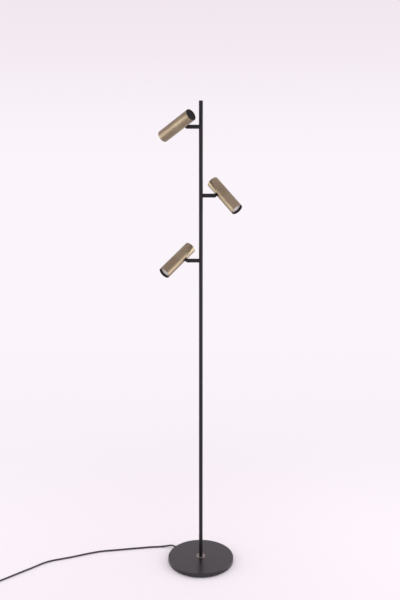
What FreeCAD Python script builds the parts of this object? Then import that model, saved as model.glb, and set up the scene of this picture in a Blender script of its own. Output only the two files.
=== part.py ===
"""Tree floor lamp: a slim black pole on a round steel base, with three short arms
that each carry a tubular bronze spotlight on a turning and tilting joint.

Millimetres, +Z up. The origin is on the floor under the middle of the base, +X points
to the right and +Y away from someone who looks at the front of the lamp.

Each arm and spotlight is drawn once in its own frame, where the arm runs out along +X,
the spotlight hangs straight down beyond the tilt pin, and the pole is the Z axis.
"""
import FreeCAD
import Part
import math
import os
import re
import Sketcher
from FreeCAD import Placement, Rotation, Vector

SIZES = {
    # base disc and its feet
    "BaseDiameter": 230.0,
    "BaseThickness": 13.0,
    "BaseEdgeRound": 1.6,
    "FootHeight": 3.0,
    "FootDiameter": 12.0,
    "FootCircle": 214.0,
    "FootAngle": -70.2,
    # pocket under the base, its cover and what it holds
    "CoverDiameter": 80.0,
    "CoverThickness": 1.5,
    "CoverScrewCircle": 72.0,
    "CoverScrewAngle": 80.0,
    "PocketDiameter": 64.0,
    "PocketDepth": 8.2,
    "ScrewDiameter": 3.0,
    "ScrewLength": 10.0,
    "ScrewHeadDiameter": 5.6,
    "ScrewHeadHeight": 1.35,
    "ClampWidth": 20.0,
    "ClampLength": 6.0,
    "ClampPlace": 24.0,
    "ClampScrewSpacing": 14.0,
    "TerminalWidth": 18.0,
    "TerminalLength": 9.0,
    "TerminalHeight": 7.6,
    "TerminalPlace": 10.0,
    "TerminalPortDiameter": 2.4,
    "TerminalPortSpacing": 5.5,
    # threaded stem that holds the pole on the base
    "StemDiameter": 10.0,
    "StemBore": 7.0,
    "StemInPole": 20.0,
    "StemBelowNut": 0.5,
    "NutAcrossFlats": 14.0,
    "NutHeight": 3.0,
    "WasherDiameter": 19.0,
    "WasherThickness": 1.0,
    # pole, its foot ring and its cap
    "PoleDiameter": 13.0,
    "PoleWall": 1.5,
    "LampHeight": 1580.0,
    "CollarDiameter": 32.0,
    "CollarHeight": 2.2,
    "CollarRound": 0.6,
    "CapHead": 1.2,
    "CapPlug": 8.0,
    "CapChamfer": 0.4,
    # wires in the pole and the arms
    "WireHole": 5.0,
    "PoleWireDiameter": 4.0,
    "ArmWireDiameter": 3.0,
    # arms
    "ArmDiameter": 13.0,
    "ArmWall": 1.5,
    "ArmReach": 44.0,
    "ArmDropTop": 80.5,
    "ArmDropMiddle": 297.6,
    "ArmDropLow": 509.3,
    "GrubDiameter": 3.0,
    "GrubLength": 2.1,
    "GrubPlace": 27.5,
    # turning joint at the end of each arm
    "SwivelSeam": 33.0,
    "SwivelStemLength": 12.0,
    "SwivelBore": 5.0,
    "GrooveWidth": 3.2,
    "GrooveDepth": 0.8,
    "SlotWidth": 5.0,
    "SlotDepth": 7.0,
    "PinDiameter": 3.0,
    "PinHeadDiameter": 5.6,
    "PinHeadHeight": 1.5,
    "PinHalfLength": 5.7,
    "PinKeyAcross": 2.0,
    "PinKeyDepth": 1.0,
    # neck between the tilt pin and the spotlight
    "TongueThickness": 4.8,
    "TongueEndRadius": 5.6,
    "TongueWidth": 10.0,
    "NeckPadDiameter": 12.0,
    "NeckPadStart": 6.9,
    "NeckGap": 7.4,
    "NeckScrewDiameter": 3.0,
    "NeckScrewLength": 7.2,
    "NeckScrewHeadDiameter": 5.5,
    "NeckScrewHeadHeight": 2.0,
    # spotlight
    "HeadDiameter": 40.0,
    "HeadWall": 1.0,
    "HeadBehindPin": 48.8,
    "HeadBeforePin": 87.0,
    "RearCapRecess": 1.5,
    "RearCapThickness": 2.0,
    "RearCapHeight": 8.0,
    "BaffleInset": 0.3,
    "BaffleLength": 13.5,
    "BaffleOpening": 35.2,
    "BaffleSeat": 36.6,
    "LampRecess": 8.0,
    "LensDiameter": 36.2,
    "LensThickness": 1.6,
    "LampCupLength": 9.0,
    "LampConeLength": 20.0,
    "LampNeckDiameter": 21.0,
    "LampNeckLength": 4.0,
    "LampPinDiameter": 5.0,
    "LampPinLength": 8.0,
    "LampPinSpacing": 10.0,
    "HolderDiameter": 25.0,
    "HolderLength": 16.0,
    "HolderGap": 2.0,
    "HolderPortDepth": 9.0,
    "BracketWidth": 8.0,
    "BracketThickness": 1.0,
    "BracketAbovePin": 6.0,
    "BracketReach": 6.0,
    # how each spotlight is turned and tilted on its joint, in degrees
    "TurnAngleTop": -52.0,
    "TurnAngleMiddle": -39.0,
    "TurnAngleLow": 45.0,
    "TiltAngleTop": 42.5,
    "TiltAngleMiddle": 34.6,
    "TiltAngleLow": 37.8,
    # cord, its way out of the base and its strain relief
    "CordDiameter": 6.0,
    "CordAngle": 140.0,
    "CordExitHeight": 8.5,
    "CordFloorGap": 0.05,
    "ChannelWidth": 7.0,
    "GlandDiameter": 8.4,
    "GlandDepth": 12.0,
    "GlandFlangeDiameter": 11.0,
    "GlandFlangeThickness": 1.2,
    "GlandNoseLength": 8.8,
    "GlandNoseDiameter": 6.8,
    # foot switch in the cord
    "SwitchLength": 74.0,
    "SwitchWidth": 40.0,
    "SwitchSplit": 9.0,
    "SwitchHeight": 20.0,
    "SwitchWall": 2.0,
    "SwitchRound": 2.5,
    "SwitchCordHeight": 5.0,
    "SwitchNoseDiameter": 7.8,
    "SwitchNoseLength": 8.0,
    "ButtonDiameter": 24.0,
    "ButtonRise": 3.0,
    "ButtonTravel": 3.0,
    "ButtonFlangeDiameter": 27.0,
    "ButtonFlangeThickness": 2.0,
    "ButtonRound": 1.0,
    "ButtonStemDiameter": 6.0,
    "ButtonStemLength": 6.0,
    "ContactLength": 24.0,
    "ContactWidth": 16.0,
    "ContactHeight": 10.5,
    # plug at the end of the cord
    "PlugLength": 26.0,
    "PlugWidth": 34.0,
    "PlugHeight": 13.7,
    "PlugCornerRound": 6.0,
    "PlugNoseLength": 14.0,
    "PlugNoseDiameter": 10.0,
    "PlugNoseEnd": 7.2,
    "PlugPinDiameter": 4.0,
    "PlugPinLength": 19.0,
    "PlugPinSpacing": 19.0,
    # coil of the spare cord
    "CoilMiddleRadius": 34.0,
    "CoilStep": 6.6,
    "CoilQuarterTurns": 22.0,
    "CoilLeadIn": 24.0,
    "CoilLeadOut": 24.0,
    "ParkedAngle": 205.0,
    # clearances
    "ThreadClearance": 0.03,
    "PressClearance": 0.05,
    "RunningClearance": 0.05,
    "SlideClearance": 0.10,
    "HoleClearance": 0.10,
}

FOOT_COUNT = 4
COVER_SCREW_COUNT = 3
TERMINAL_PORT_COUNT = 3

# Route of the cord along the floor, from its strain relief to the foot switch. Each
# point is a step in x and y from the end of the strain relief, and a lift above the
# height at which the cord rests on the floor.
CORD_ROUTE = [
    (-6.13, 5.14, 5.45),
    (-14.1, 8.52, 4.6),
    (-23.4, 9.5, 3.0),
    (-37.0, 9.05, 0.95),
    (-52.2, 7.6, 0.0),
    (-64.2, 6.25, 0.0),
    (-86.45, 4.66, 0.0),
    (-112.26, 0.11, 0.0),
    (-149.26, -5.49, 0.0),
    (-188.26, -12.49, 0.0),
    (-226.26, -18.99, 0.0),
    (-261.26, -24.09, 0.0),
    (-294.26, -34.59, 0.0),
    (-328.26, -48.89, 0.0),
    (-364.26, -64.79, 0.0),
    (-400.26, -77.79, 0.0),
    (-433.26, -89.19, 0.0),
    (-460.26, -106.39, 0.0),
    (-487.26, -132.99, 0.0),
    (-520.26, -161.59, 0.0),
    (-554.26, -192.59, 0.0),
    (-586.26, -220.99, 0.0),
    (-612.26, -239.39, 1.95),
    (-636.73, -250.8, 1.95),
]

ALONG_X = Rotation(Vector(0, 1, 0), 90)
ALONG_Y = Rotation(Vector(1, 0, 0), -90)

doc = FreeCAD.newDocument("TreeFloorLamp")
sheet = doc.addObject("Spreadsheet::Sheet", "Sizes")
for row, (alias, number) in enumerate(SIZES.items(), start=1):
    sheet.set(f"A{row}", str(number))
    sheet.setAlias(f"A{row}", alias)
doc.recompute()

nodes = {}


# ---------------------------------------------------------------- helpers

def bound(text):
    """Return an expression in which each size name points at the sheet."""
    return re.sub(r"[A-Z]\w+", r"Sizes.\g<0>", text)


def value(text):
    """Return the number that an expression of size names gives now."""
    return float(sheet.evalExpression(bound(text)))


def primitive(kind, name, at=("0", "0", "0"), turn=None, **sizes):
    """Add a Part primitive with its sizes and its place bound to the sheet."""
    shape = doc.addObject("Part::" + kind, name)
    shape.Placement = Placement(Vector(), turn or Rotation())
    for axis, text in zip("xyz", at):
        shape.setExpression("Placement.Base." + axis, bound(text))
    for prop, text in sizes.items():
        shape.setExpression(prop, bound(text))
    return shape


def cylinder(name, diameter, height, at=("0", "0", "0"), turn=None):
    """Add a cylinder that starts at a point and runs along its turned Z axis."""
    return primitive("Cylinder", name, at, turn, Radius=f"({diameter}) / 2", Height=height)


def box(name, length, width, height, at):
    """Add a box centred on Y = 0 whose low X and Z faces are at the given point."""
    low = (at[0], f"({at[1]}) - ({width}) / 2", at[2])
    return primitive("Box", name, low, Length=length, Width=width, Height=height)


def fuse(name, *shapes):
    """Join shapes into one."""
    joined = doc.addObject("Part::MultiFuse", name)
    joined.Shapes = list(shapes)
    joined.Refine = True
    return joined


def cut(name, base, *tools):
    """Take the tools away from a shape."""
    left = doc.addObject("Part::Cut", name)
    left.Base = base
    left.Tool = tools[0] if len(tools) == 1 else fuse(name + "_tools", *tools)
    return left


def group(name, *shapes):
    """Keep several separate solids in one object."""
    bundle = doc.addObject("Part::Compound", name)
    bundle.Links = list(shapes)
    return bundle


def turned(name, outline, axis="V_Axis"):
    """Add a body turned from a closed outline of straight sides in the XZ plane.

    The outline is a list of (x, z) expressions. V_Axis turns it about Z, H_Axis about X.
    """
    body = doc.addObject("PartDesign::Body", name)
    sketch = body.newObject("Sketcher::SketchObject", name + "_outline")
    plane = [part for part in body.Origin.OriginFeatures if part.Role == "XZ_Plane"][0]
    sketch.AttachmentSupport = [(plane, "")]
    sketch.MapMode = "FlatFace"
    corners = [Vector(value(x), value(z), 0) for x, z in outline]
    count = len(corners)
    for index in range(count):
        sketch.addGeometry(Part.LineSegment(corners[index], corners[(index + 1) % count]), False)
    for index in range(count):
        sketch.addConstraint(Sketcher.Constraint("Coincident", index, 2, (index + 1) % count, 1))
    for index, (x, z) in enumerate(outline):
        for kind, text, axis_line in (("DistanceX", x, -2), ("DistanceY", z, -1)):
            if text == "0":
                sketch.addConstraint(Sketcher.Constraint("PointOnObject", index, 1, axis_line))
                continue
            place = sketch.addConstraint(Sketcher.Constraint(kind, index, 1, value(text)))
            sketch.setExpression(f"Constraints[{place}]", bound(text))
    doc.recompute()
    turn = body.newObject("PartDesign::Revolution", name + "_turn")
    turn.Profile = sketch
    turn.ReferenceAxis = (sketch, [axis])
    turn.Angle = 360
    doc.recompute()
    return body


def ring_edges(shape, radius, height):
    """Return the names of a shape's whole circles about Z with a radius and height."""
    found = []
    for index, edge in enumerate(shape.Edges, start=1):
        curve = edge.Curve
        if not isinstance(curve, Part.Circle):
            continue
        same_size = abs(curve.Radius - radius) < 0.01
        same_height = abs(curve.Center.z - height) < 0.01
        if same_size and same_height:
            found.append(f"Edge{index}")
    return found


def dressed(body, kind, name, size, diameter, height):
    """Round or chamfer the ring edge of a turned body at a diameter and height."""
    dress = body.newObject("PartDesign::" + kind, name)
    tip = [part for part in body.Group if part.isDerivedFrom("PartDesign::Feature")][-2]
    edges = ring_edges(tip.Shape, value(diameter) / 2, value(height))
    dress.Base = (tip, edges)
    dress.setExpression("Radius" if kind == "Fillet" else "Size", bound(size))
    doc.recompute()
    return body


def keep(shape, label, place=None):
    """Label a finished sub-part, put it in its place and list it for export."""
    shape.Label = label
    if place is not None:
        shape.Placement = place
    nodes[label] = shape


# ---------------------------------------------------------------- frames

CORD_REST = "(CordDiameter / 2 + CordFloorGap)"

SPOTS = {
    "top": {"suffix": "Top", "side": 180},
    "middle": {"suffix": "Middle", "side": 0},
    "low": {"suffix": "Low", "side": 180},
}


def arm_frame(spot):
    """Return the frame of an arm: origin on the pole's axis, +X out along the arm."""
    height = value("LampHeight - ArmDrop" + spot["suffix"])
    return Placement(Vector(0, 0, height), Rotation(Vector(0, 0, 1), spot["side"]))


def swivel_frame(spot):
    """Return the frame of the turning joint, rolled about the arm."""
    roll = Rotation(Vector(1, 0, 0), value("TurnAngle" + spot["suffix"]))
    return arm_frame(spot) * Placement(Vector(), roll)


def head_frame(spot):
    """Return the frame of a spotlight, tilted about the pin at the end of the arm."""
    pivot = Vector(value("ArmReach"), 0, 0)
    tilt = Rotation(Vector(0, -1, 0), value("TiltAngle" + spot["suffix"]))
    return swivel_frame(spot) * Placement(Vector(), tilt, pivot)


def radial_frame(turn):
    """Return a frame at the floor under the base, with +X out at an angle."""
    return Placement(Vector(), Rotation(Vector(0, 0, 1), value(turn)))


def parked_frame():
    """Return the frame of the put-away cord, from the end of the floor route."""
    end = cord_points()[-1]
    return Placement(Vector(end.x, end.y, 0), Rotation(Vector(0, 0, 1), value("ParkedAngle")))


def cord_points():
    """Return the points of the cord's route, from the end of its strain relief."""
    reach = value("BaseDiameter / 2 + GlandFlangeThickness + GlandNoseLength")
    start = radial_frame("CordAngle") * Vector(reach, 0, value("CordExitHeight"))
    rest = value(CORD_REST)
    floor = Vector(start.x, start.y, rest)
    return [start] + [floor + Vector(*step) for step in CORD_ROUTE]


# ---------------------------------------------------------------- screws

def countersunk_screw(name, at):
    """Add a countersunk screw whose head is down and whose shank points up."""
    head = primitive("Cone", name + "_head", at, Radius1="ScrewHeadDiameter / 2",
                     Radius2="ScrewDiameter / 2 - ThreadClearance", Height="ScrewHeadHeight")
    shank = cylinder(name + "_shank", "ScrewDiameter - 2 * ThreadClearance", "ScrewLength", at)
    return fuse(name, head, shank)


def countersunk_hole(name, at, depth):
    """Add the tool for a countersunk clearance hole that opens downwards."""
    mouth = primitive("Cone", name + "_mouth", at,
                      Radius1="ScrewHeadDiameter / 2 + HoleClearance",
                      Radius2="ScrewDiameter / 2 - ThreadClearance + HoleClearance",
                      Height="ScrewHeadHeight")
    shaft = cylinder(name + "_shaft", "ScrewDiameter + 2 * HoleClearance", depth, at)
    return fuse(name, mouth, shaft)


def cover_screw_places():
    """Return where the cover's screws stand, as (x, y) expressions."""
    step = 360 / COVER_SCREW_COUNT
    angles = [f"(CoverScrewAngle + {index * step})" for index in range(COVER_SCREW_COUNT)]
    return [(f"CoverScrewCircle / 2 * cos({angle})", f"CoverScrewCircle / 2 * sin({angle})")
            for angle in angles]


def clamp_screw_places():
    """Return where the cord clamp's screws stand, as (x, y) expressions."""
    along = "(ClampPlace + ClampLength / 2)"
    places = []
    for side in (-1, 1):
        across = f"({side} * ClampScrewSpacing / 2)"
        places.append((f"{along} * cos(CordAngle) - {across} * sin(CordAngle)",
                       f"{along} * sin(CordAngle) + {across} * cos(CordAngle)"))
    return places


# ---------------------------------------------------------------- base

COVER_TOP = "(FootHeight + CoverThickness)"
WEB_BOTTOM = f"({COVER_TOP} + PocketDepth)"
BASE_TOP = "(FootHeight + BaseThickness)"
CLAMP_BOTTOM = f"({COVER_TOP} + 2 * HoleClearance)"


def build_base_disc():
    """Steel disc with a pocket for the wiring, a cord channel and screw holes."""
    disc = turned("base_turned", [
        ("StemDiameter / 2 + HoleClearance", WEB_BOTTOM),
        ("PocketDiameter / 2", WEB_BOTTOM),
        ("PocketDiameter / 2", COVER_TOP),
        ("CoverDiameter / 2 + 2 * HoleClearance", COVER_TOP),
        ("CoverDiameter / 2 + 2 * HoleClearance", "FootHeight"),
        ("BaseDiameter / 2", "FootHeight"),
        ("BaseDiameter / 2", BASE_TOP),
        ("StemDiameter / 2 + HoleClearance", BASE_TOP),
    ])
    dressed(disc, "Fillet", "base_edge", "BaseEdgeRound", "BaseDiameter", BASE_TOP)
    inner = "(PocketDiameter / 2 - 2)"
    outer = "(BaseDiameter / 2 - GlandDepth)"
    channel = box("cord_channel", f"{outer} - {inner}", "ChannelWidth",
                  "CordExitHeight + CordDiameter / 2 + 3 * HoleClearance",
                  (inner, "0", "0"))
    seat = cylinder("gland_seat", "GlandDiameter", "GlandDepth * 2",
                    (outer, "0", "CordExitHeight"), ALONG_X)
    way_out = group("cord_way_out", channel, seat)
    way_out.Placement = radial_frame("CordAngle")
    taps = []
    for index, (x, y) in enumerate(cover_screw_places()):
        taps.append(cylinder(f"cover_tap_{index}", "ScrewDiameter", "ScrewLength",
                             (x, y, "FootHeight + HoleClearance")))
    for index, (x, y) in enumerate(clamp_screw_places()):
        taps.append(cylinder(f"clamp_tap_{index}", "ScrewDiameter", "ScrewLength",
                             (x, y, f"{CLAMP_BOTTOM} + HoleClearance")))
    keep(cut("base_with_channel", disc, way_out, *taps), "base_disc")


def build_base_feet():
    """Four rubber feet near the rim, a little narrower at the floor."""
    feet = []
    for index in range(FOOT_COUNT):
        angle = f"(FootAngle + {index * 360 / FOOT_COUNT})"
        feet.append(primitive("Cone", f"foot_{index}",
                              (f"FootCircle / 2 * cos({angle})",
                               f"FootCircle / 2 * sin({angle})", "0"),
                              Radius1="FootDiameter / 2 * 0.9", Radius2="FootDiameter / 2",
                              Height="FootHeight"))
    keep(group("feet", *feet), "base_feet")


def build_pocket_cover():
    """Thin steel cover that closes the wiring pocket, flush with the disc."""
    plate = cylinder("cover_plate", "CoverDiameter", "CoverThickness", ("0", "0", "FootHeight"))
    holes = [countersunk_hole(f"cover_hole_{index}", (x, y, "FootHeight"), "CoverThickness * 2")
             for index, (x, y) in enumerate(cover_screw_places())]
    keep(cut("cover_drilled", plate, *holes), "pocket_cover")


def build_base_screws():
    """Five equal screws: three in the cover and two in the cord clamp."""
    screws = [countersunk_screw(f"cover_screw_{index}", (x, y, "FootHeight"))
              for index, (x, y) in enumerate(cover_screw_places())]
    screws += [countersunk_screw(f"clamp_screw_{index}", (x, y, CLAMP_BOTTOM))
               for index, (x, y) in enumerate(clamp_screw_places())]
    keep(group("screws_m3", *screws), "base_screws")


def build_cord_clamp():
    """Saddle that holds the cord up against the web of the base."""
    block = box("clamp_block", "ClampLength", "ClampWidth", f"{WEB_BOTTOM} - {CLAMP_BOTTOM}",
                ("ClampPlace", "0", CLAMP_BOTTOM))
    arch = cylinder("clamp_arch", "CordDiameter + 2 * PressClearance", "ClampLength * 3",
                    ("ClampPlace - ClampLength", "0", "CordExitHeight"), ALONG_X)
    throat = box("clamp_throat", "ClampLength * 3", "CordDiameter + 2 * PressClearance",
                 "BaseThickness", ("ClampPlace - ClampLength", "0", "CordExitHeight"))
    along = "ClampPlace + ClampLength / 2"
    holes = [countersunk_hole(f"clamp_hole_{index}",
                              (along, f"{side} * ClampScrewSpacing / 2", CLAMP_BOTTOM),
                              "BaseThickness")
             for index, side in enumerate((-1, 1))]
    clamp = cut("clamp_drilled", block, arch, throat, *holes)
    keep(clamp, "cord_clamp", radial_frame("CordAngle"))


def build_terminal_block():
    """Terminal block on the web, where the cord meets the wires of the pole."""
    block = box("terminal_body", "TerminalLength", "TerminalWidth", "TerminalHeight",
                ("TerminalPlace", "0", f"{WEB_BOTTOM} - TerminalHeight"))
    middle = (TERMINAL_PORT_COUNT - 1) / 2
    ports = [cylinder(f"terminal_port_{index}", "TerminalPortDiameter", "TerminalHeight / 2",
                      ("TerminalPlace + TerminalLength / 2",
                       f"TerminalPortSpacing * ({index - middle})",
                       f"{WEB_BOTTOM} - TerminalHeight"))
             for index in range(TERMINAL_PORT_COUNT)]
    block = cut("terminal_drilled", block, *ports)
    keep(block, "terminal_block", radial_frame("CordAngle"))


def build_cord_gland():
    """Rubber bush in the rim, with a flange and a short tapered nose."""
    rim = "(BaseDiameter / 2)"
    bush = cylinder("gland_bush", "GlandDiameter - 2 * PressClearance", "GlandDepth",
                    (f"{rim} - GlandDepth", "0", "CordExitHeight"), ALONG_X)
    flange = cylinder("gland_flange", "GlandFlangeDiameter", "GlandFlangeThickness",
                      (rim, "0", "CordExitHeight"), ALONG_X)
    nose = primitive("Cone", "gland_nose",
                     (f"{rim} + GlandFlangeThickness", "0", "CordExitHeight"), ALONG_X,
                     Radius1="GlandDiameter / 2", Radius2="GlandNoseDiameter / 2",
                     Height="GlandNoseLength")
    keep(fuse("gland", bush, flange, nose), "cord_gland", radial_frame("CordAngle"))


def build_cord_inner():
    """Stretch of cord inside the base, from the gland to the terminal block."""
    start = "(TerminalPlace + TerminalLength)"
    lead = cylinder("inner_lead", "CordDiameter", f"BaseDiameter / 2 - GlandDepth - {start}",
                    (start, "0", "CordExitHeight"), ALONG_X)
    keep(group("inner_lead_placed", lead), "cord_inner", radial_frame("CordAngle"))


def build_base_stem():
    """Hollow threaded stem from the pocket up into the pole."""
    low = f"({WEB_BOTTOM} - WasherThickness - NutHeight - StemBelowNut)"
    length = f"{BASE_TOP} + StemInPole - {low}"
    rod = cylinder("stem_rod", "StemDiameter", length, ("0", "0", low))
    bore = cylinder("stem_bore", "StemBore", f"({length}) * 2", ("0", "0", "0"))
    keep(cut("stem", rod, bore), "base_stem")


def build_base_washer():
    """Washer between the nut and the web of the base."""
    low = f"{WEB_BOTTOM} - WasherThickness"
    disc = cylinder("washer_disc", "WasherDiameter", "WasherThickness", ("0", "0", low))
    hole = cylinder("washer_hole", "StemDiameter + 2 * HoleClearance", "WasherThickness * 3",
                    ("0", "0", f"{low} - WasherThickness"))
    keep(cut("washer", disc, hole), "base_washer")


def build_base_nut():
    """Thin hexagon nut that pulls the stem and the pole down onto the base."""
    low = f"{WEB_BOTTOM} - WasherThickness - NutHeight"
    hexagon = primitive("Prism", "nut_hexagon", ("0", "0", low),
                        Circumradius="NutAcrossFlats / 2 / cos(30)", Height="NutHeight")
    hole = cylinder("nut_hole", "StemDiameter + 2 * ThreadClearance", "NutHeight * 3",
                    ("0", "0", f"{low} - NutHeight"))
    keep(cut("nut", hexagon, hole), "base_nut")


# ---------------------------------------------------------------- pole

POLE_TOP = "(LampHeight - CapHead)"
POLE_BORE = "(PoleDiameter - 2 * PoleWall)"


def build_pole():
    """Straight tube, opened at the foot for the stem and at each arm for its wires."""
    tube = cylinder("pole_tube", "PoleDiameter", f"{POLE_TOP} - {BASE_TOP}",
                    ("0", "0", BASE_TOP))
    bore = cylinder("pole_bore", POLE_BORE, "LampHeight", ("0", "0", "0"))
    thread = cylinder("pole_thread", "StemDiameter + 2 * ThreadClearance", "StemInPole + 1",
                      ("0", "0", BASE_TOP))
    holes = []
    for name, spot in SPOTS.items():
        hole = cylinder("pole_wire_hole_" + name, "WireHole", "PoleDiameter", turn=ALONG_X)
        placed = group("pole_wire_way_" + name, hole)
        placed.Placement = arm_frame(spot)
        holes.append(placed)
    keep(cut("pole_drilled", tube, bore, thread, *holes), "pole")


def build_pole_cap():
    """Cap pressed into the top of the pole."""
    cap = turned("cap_turned", [
        ("0", "LampHeight"),
        ("PoleDiameter / 2", "LampHeight"),
        ("PoleDiameter / 2", POLE_TOP),
        (f"{POLE_BORE} / 2 - PressClearance", POLE_TOP),
        (f"{POLE_BORE} / 2 - PressClearance", f"{POLE_TOP} - CapPlug"),
        ("0", f"{POLE_TOP} - CapPlug"),
    ])
    dressed(cap, "Chamfer", "cap_edge", "CapChamfer", "PoleDiameter", "LampHeight")
    keep(cap, "pole_cap")


def build_base_collar():
    """Bronze ring that hides the foot of the pole."""
    bore = "PoleDiameter / 2 + RunningClearance"
    top = f"{BASE_TOP} + CollarHeight"
    collar = turned("collar_turned", [
        (bore, BASE_TOP),
        ("CollarDiameter / 2", BASE_TOP),
        ("CollarDiameter / 2", top),
        (bore, top),
    ])
    dressed(collar, "Fillet", "collar_edge", "CollarRound", "CollarDiameter", top)
    keep(collar, "base_collar")


def build_wiring():
    """Wires up the pole with a branch into each arm and one to the terminal block."""
    foot = "(CoverThickness + FootHeight + ArmWireDiameter / 2 + 3 * HoleClearance)"
    trunk = cylinder("wire_trunk", "PoleWireDiameter", f"LampHeight - ArmDropTop - {foot}",
                     ("0", "0", foot))
    tail = cylinder("wire_tail", "ArmWireDiameter", "TerminalPlace", ("0", "0", foot), ALONG_X)
    tail_placed = group("wire_tail_placed", tail)
    tail_placed.Placement = radial_frame("CordAngle")
    parts = [trunk, tail_placed]
    for name, spot in SPOTS.items():
        branch = cylinder("wire_branch_" + name, "ArmWireDiameter",
                          "ArmReach - SlotDepth - 1", turn=ALONG_X)
        placed = group("wire_branch_placed_" + name, branch)
        placed.Placement = arm_frame(spot)
        parts.append(placed)
    keep(fuse("wires", *parts), "pole_wiring")


# ---------------------------------------------------------------- arm and its joint

def build_arm(name, spot):
    """Short tube brazed to the pole, saddled to fit it, with a hole for the grub screw."""
    tube = cylinder("arm_tube_" + name, "ArmDiameter", "SwivelSeam", turn=ALONG_X)
    bore = cylinder("arm_bore_" + name, "ArmDiameter - 2 * ArmWall", "SwivelSeam * 2",
                    turn=ALONG_X)
    saddle = cylinder("arm_saddle_" + name, "PoleDiameter + 2 * ThreadClearance",
                      "ArmDiameter * 2", ("0", "0", "-ArmDiameter"))
    tap = cylinder("arm_tap_" + name, "GrubDiameter", "ArmDiameter",
                   ("GrubPlace", "0", "-ArmDiameter"))
    keep(cut("arm_" + name, tube, bore, saddle, tap), "arm_tube_" + name, arm_frame(spot))


def build_grub_screws():
    """Three grub screws, each through an arm into the groove of its turning joint."""
    screws = []
    for name, spot in SPOTS.items():
        side = 1 if spot["side"] == 0 else -1
        start = f"LampHeight - ArmDrop{spot['suffix']} - ArmDiameter / 2 + HoleClearance"
        screws.append(cylinder("grub_" + name, "GrubDiameter - 2 * ThreadClearance",
                               "GrubLength", (f"{side} * GrubPlace", "0", start)))
    keep(group("grubs", *screws), "arm_grub_screws")


def build_swivel(name, spot):
    """Turning end piece: a grooved hollow stem, and a slotted ball for the tilt pin."""
    start = "(SwivelSeam + SlideClearance)"
    stem_end = "(SwivelSeam - SwivelStemLength)"
    stem_diameter = "(ArmDiameter - 2 * ArmWall - 2 * RunningClearance)"
    body = cylinder("swivel_body_" + name, "ArmDiameter", f"ArmReach - {start}",
                    (start, "0", "0"), ALONG_X)
    ball = primitive("Sphere", "swivel_ball_" + name, ("ArmReach", "0", "0"),
                     Radius="ArmDiameter / 2")
    stem = cylinder("swivel_stem_" + name, stem_diameter, "SwivelStemLength + 1",
                    (stem_end, "0", "0"), ALONG_X)
    solid = fuse("swivel_solid_" + name, body, ball, stem)
    ring_at = ("GrubPlace - GrooveWidth / 2", "0", "0")
    ring = cut("swivel_groove_" + name,
               cylinder("groove_out_" + name, "ArmDiameter", "GrooveWidth", ring_at, ALONG_X),
               cylinder("groove_in_" + name, f"{stem_diameter} - 2 * GrooveDepth",
                        "GrooveWidth", ring_at, ALONG_X))
    bore = cylinder("swivel_bore_" + name, "SwivelBore", "ArmReach - SlotDepth",
                    ("0", "0", "0"), ALONG_X)
    slot = box("swivel_slot_" + name, "SlotDepth + ArmDiameter", "SlotWidth",
               "ArmDiameter * 2", ("ArmReach - SlotDepth", "0", "-ArmDiameter"))
    across = ("ArmReach", "-ArmDiameter", "0")
    pin_hole = cylinder("swivel_pin_hole_" + name, "PinDiameter", "ArmDiameter * 2", across,
                        ALONG_Y)
    head_seat = cylinder("swivel_pin_seat_" + name, "PinHeadDiameter + 2 * HoleClearance",
                         "ArmDiameter - PinHalfLength + PinHeadHeight", across, ALONG_Y)
    keep(cut("swivel_cut_" + name, solid, ring, bore, slot, pin_hole, head_seat),
         "swivel_" + name, swivel_frame(spot))


def build_pivot_screw(name, spot):
    """Tilt pin: a screw across the slot, its socket head sunk in one cheek."""
    shank = cylinder("pivot_shank_" + name, "PinDiameter - 2 * ThreadClearance",
                     "PinHalfLength * 2", ("ArmReach", "-PinHalfLength", "0"), ALONG_Y)
    head = cylinder("pivot_head_" + name, "PinHeadDiameter", "PinHeadHeight",
                    ("ArmReach", "-PinHalfLength", "0"), ALONG_Y)
    key = primitive("Prism", "pivot_key_" + name,
                    ("ArmReach", "-PinHalfLength - PinKeyDepth", "0"), ALONG_Y,
                    Circumradius="PinKeyAcross / 2 / cos(30)", Height="PinKeyDepth * 2")
    screw = cut("pivot_cut_" + name, fuse("pivot_solid_" + name, shank, head), key)
    keep(screw, "pivot_screw_" + name, swivel_frame(spot))


# ---------------------------------------------------------------- spotlight

HEAD_AXIS = "(ArmReach + NeckGap + HeadDiameter / 2)"
HEAD_BORE = "(HeadDiameter - 2 * HeadWall)"
STRAP_OUT = (f"({HEAD_AXIS} - sqrt(({HEAD_BORE} / 2) ^ 2 - (BracketWidth / 2) ^ 2)"
             " + PressClearance)")
LENS_FRONT = "(-HeadBeforePin + LampRecess)"
LAMP_REAR = (f"({LENS_FRONT} + LensThickness + LampCupLength + LampConeLength"
             " + LampNeckLength)")
HOLDER_FRONT = f"({LAMP_REAR} + HolderGap)"
HOLDER_REAR = f"({HOLDER_FRONT} + HolderLength)"


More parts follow.
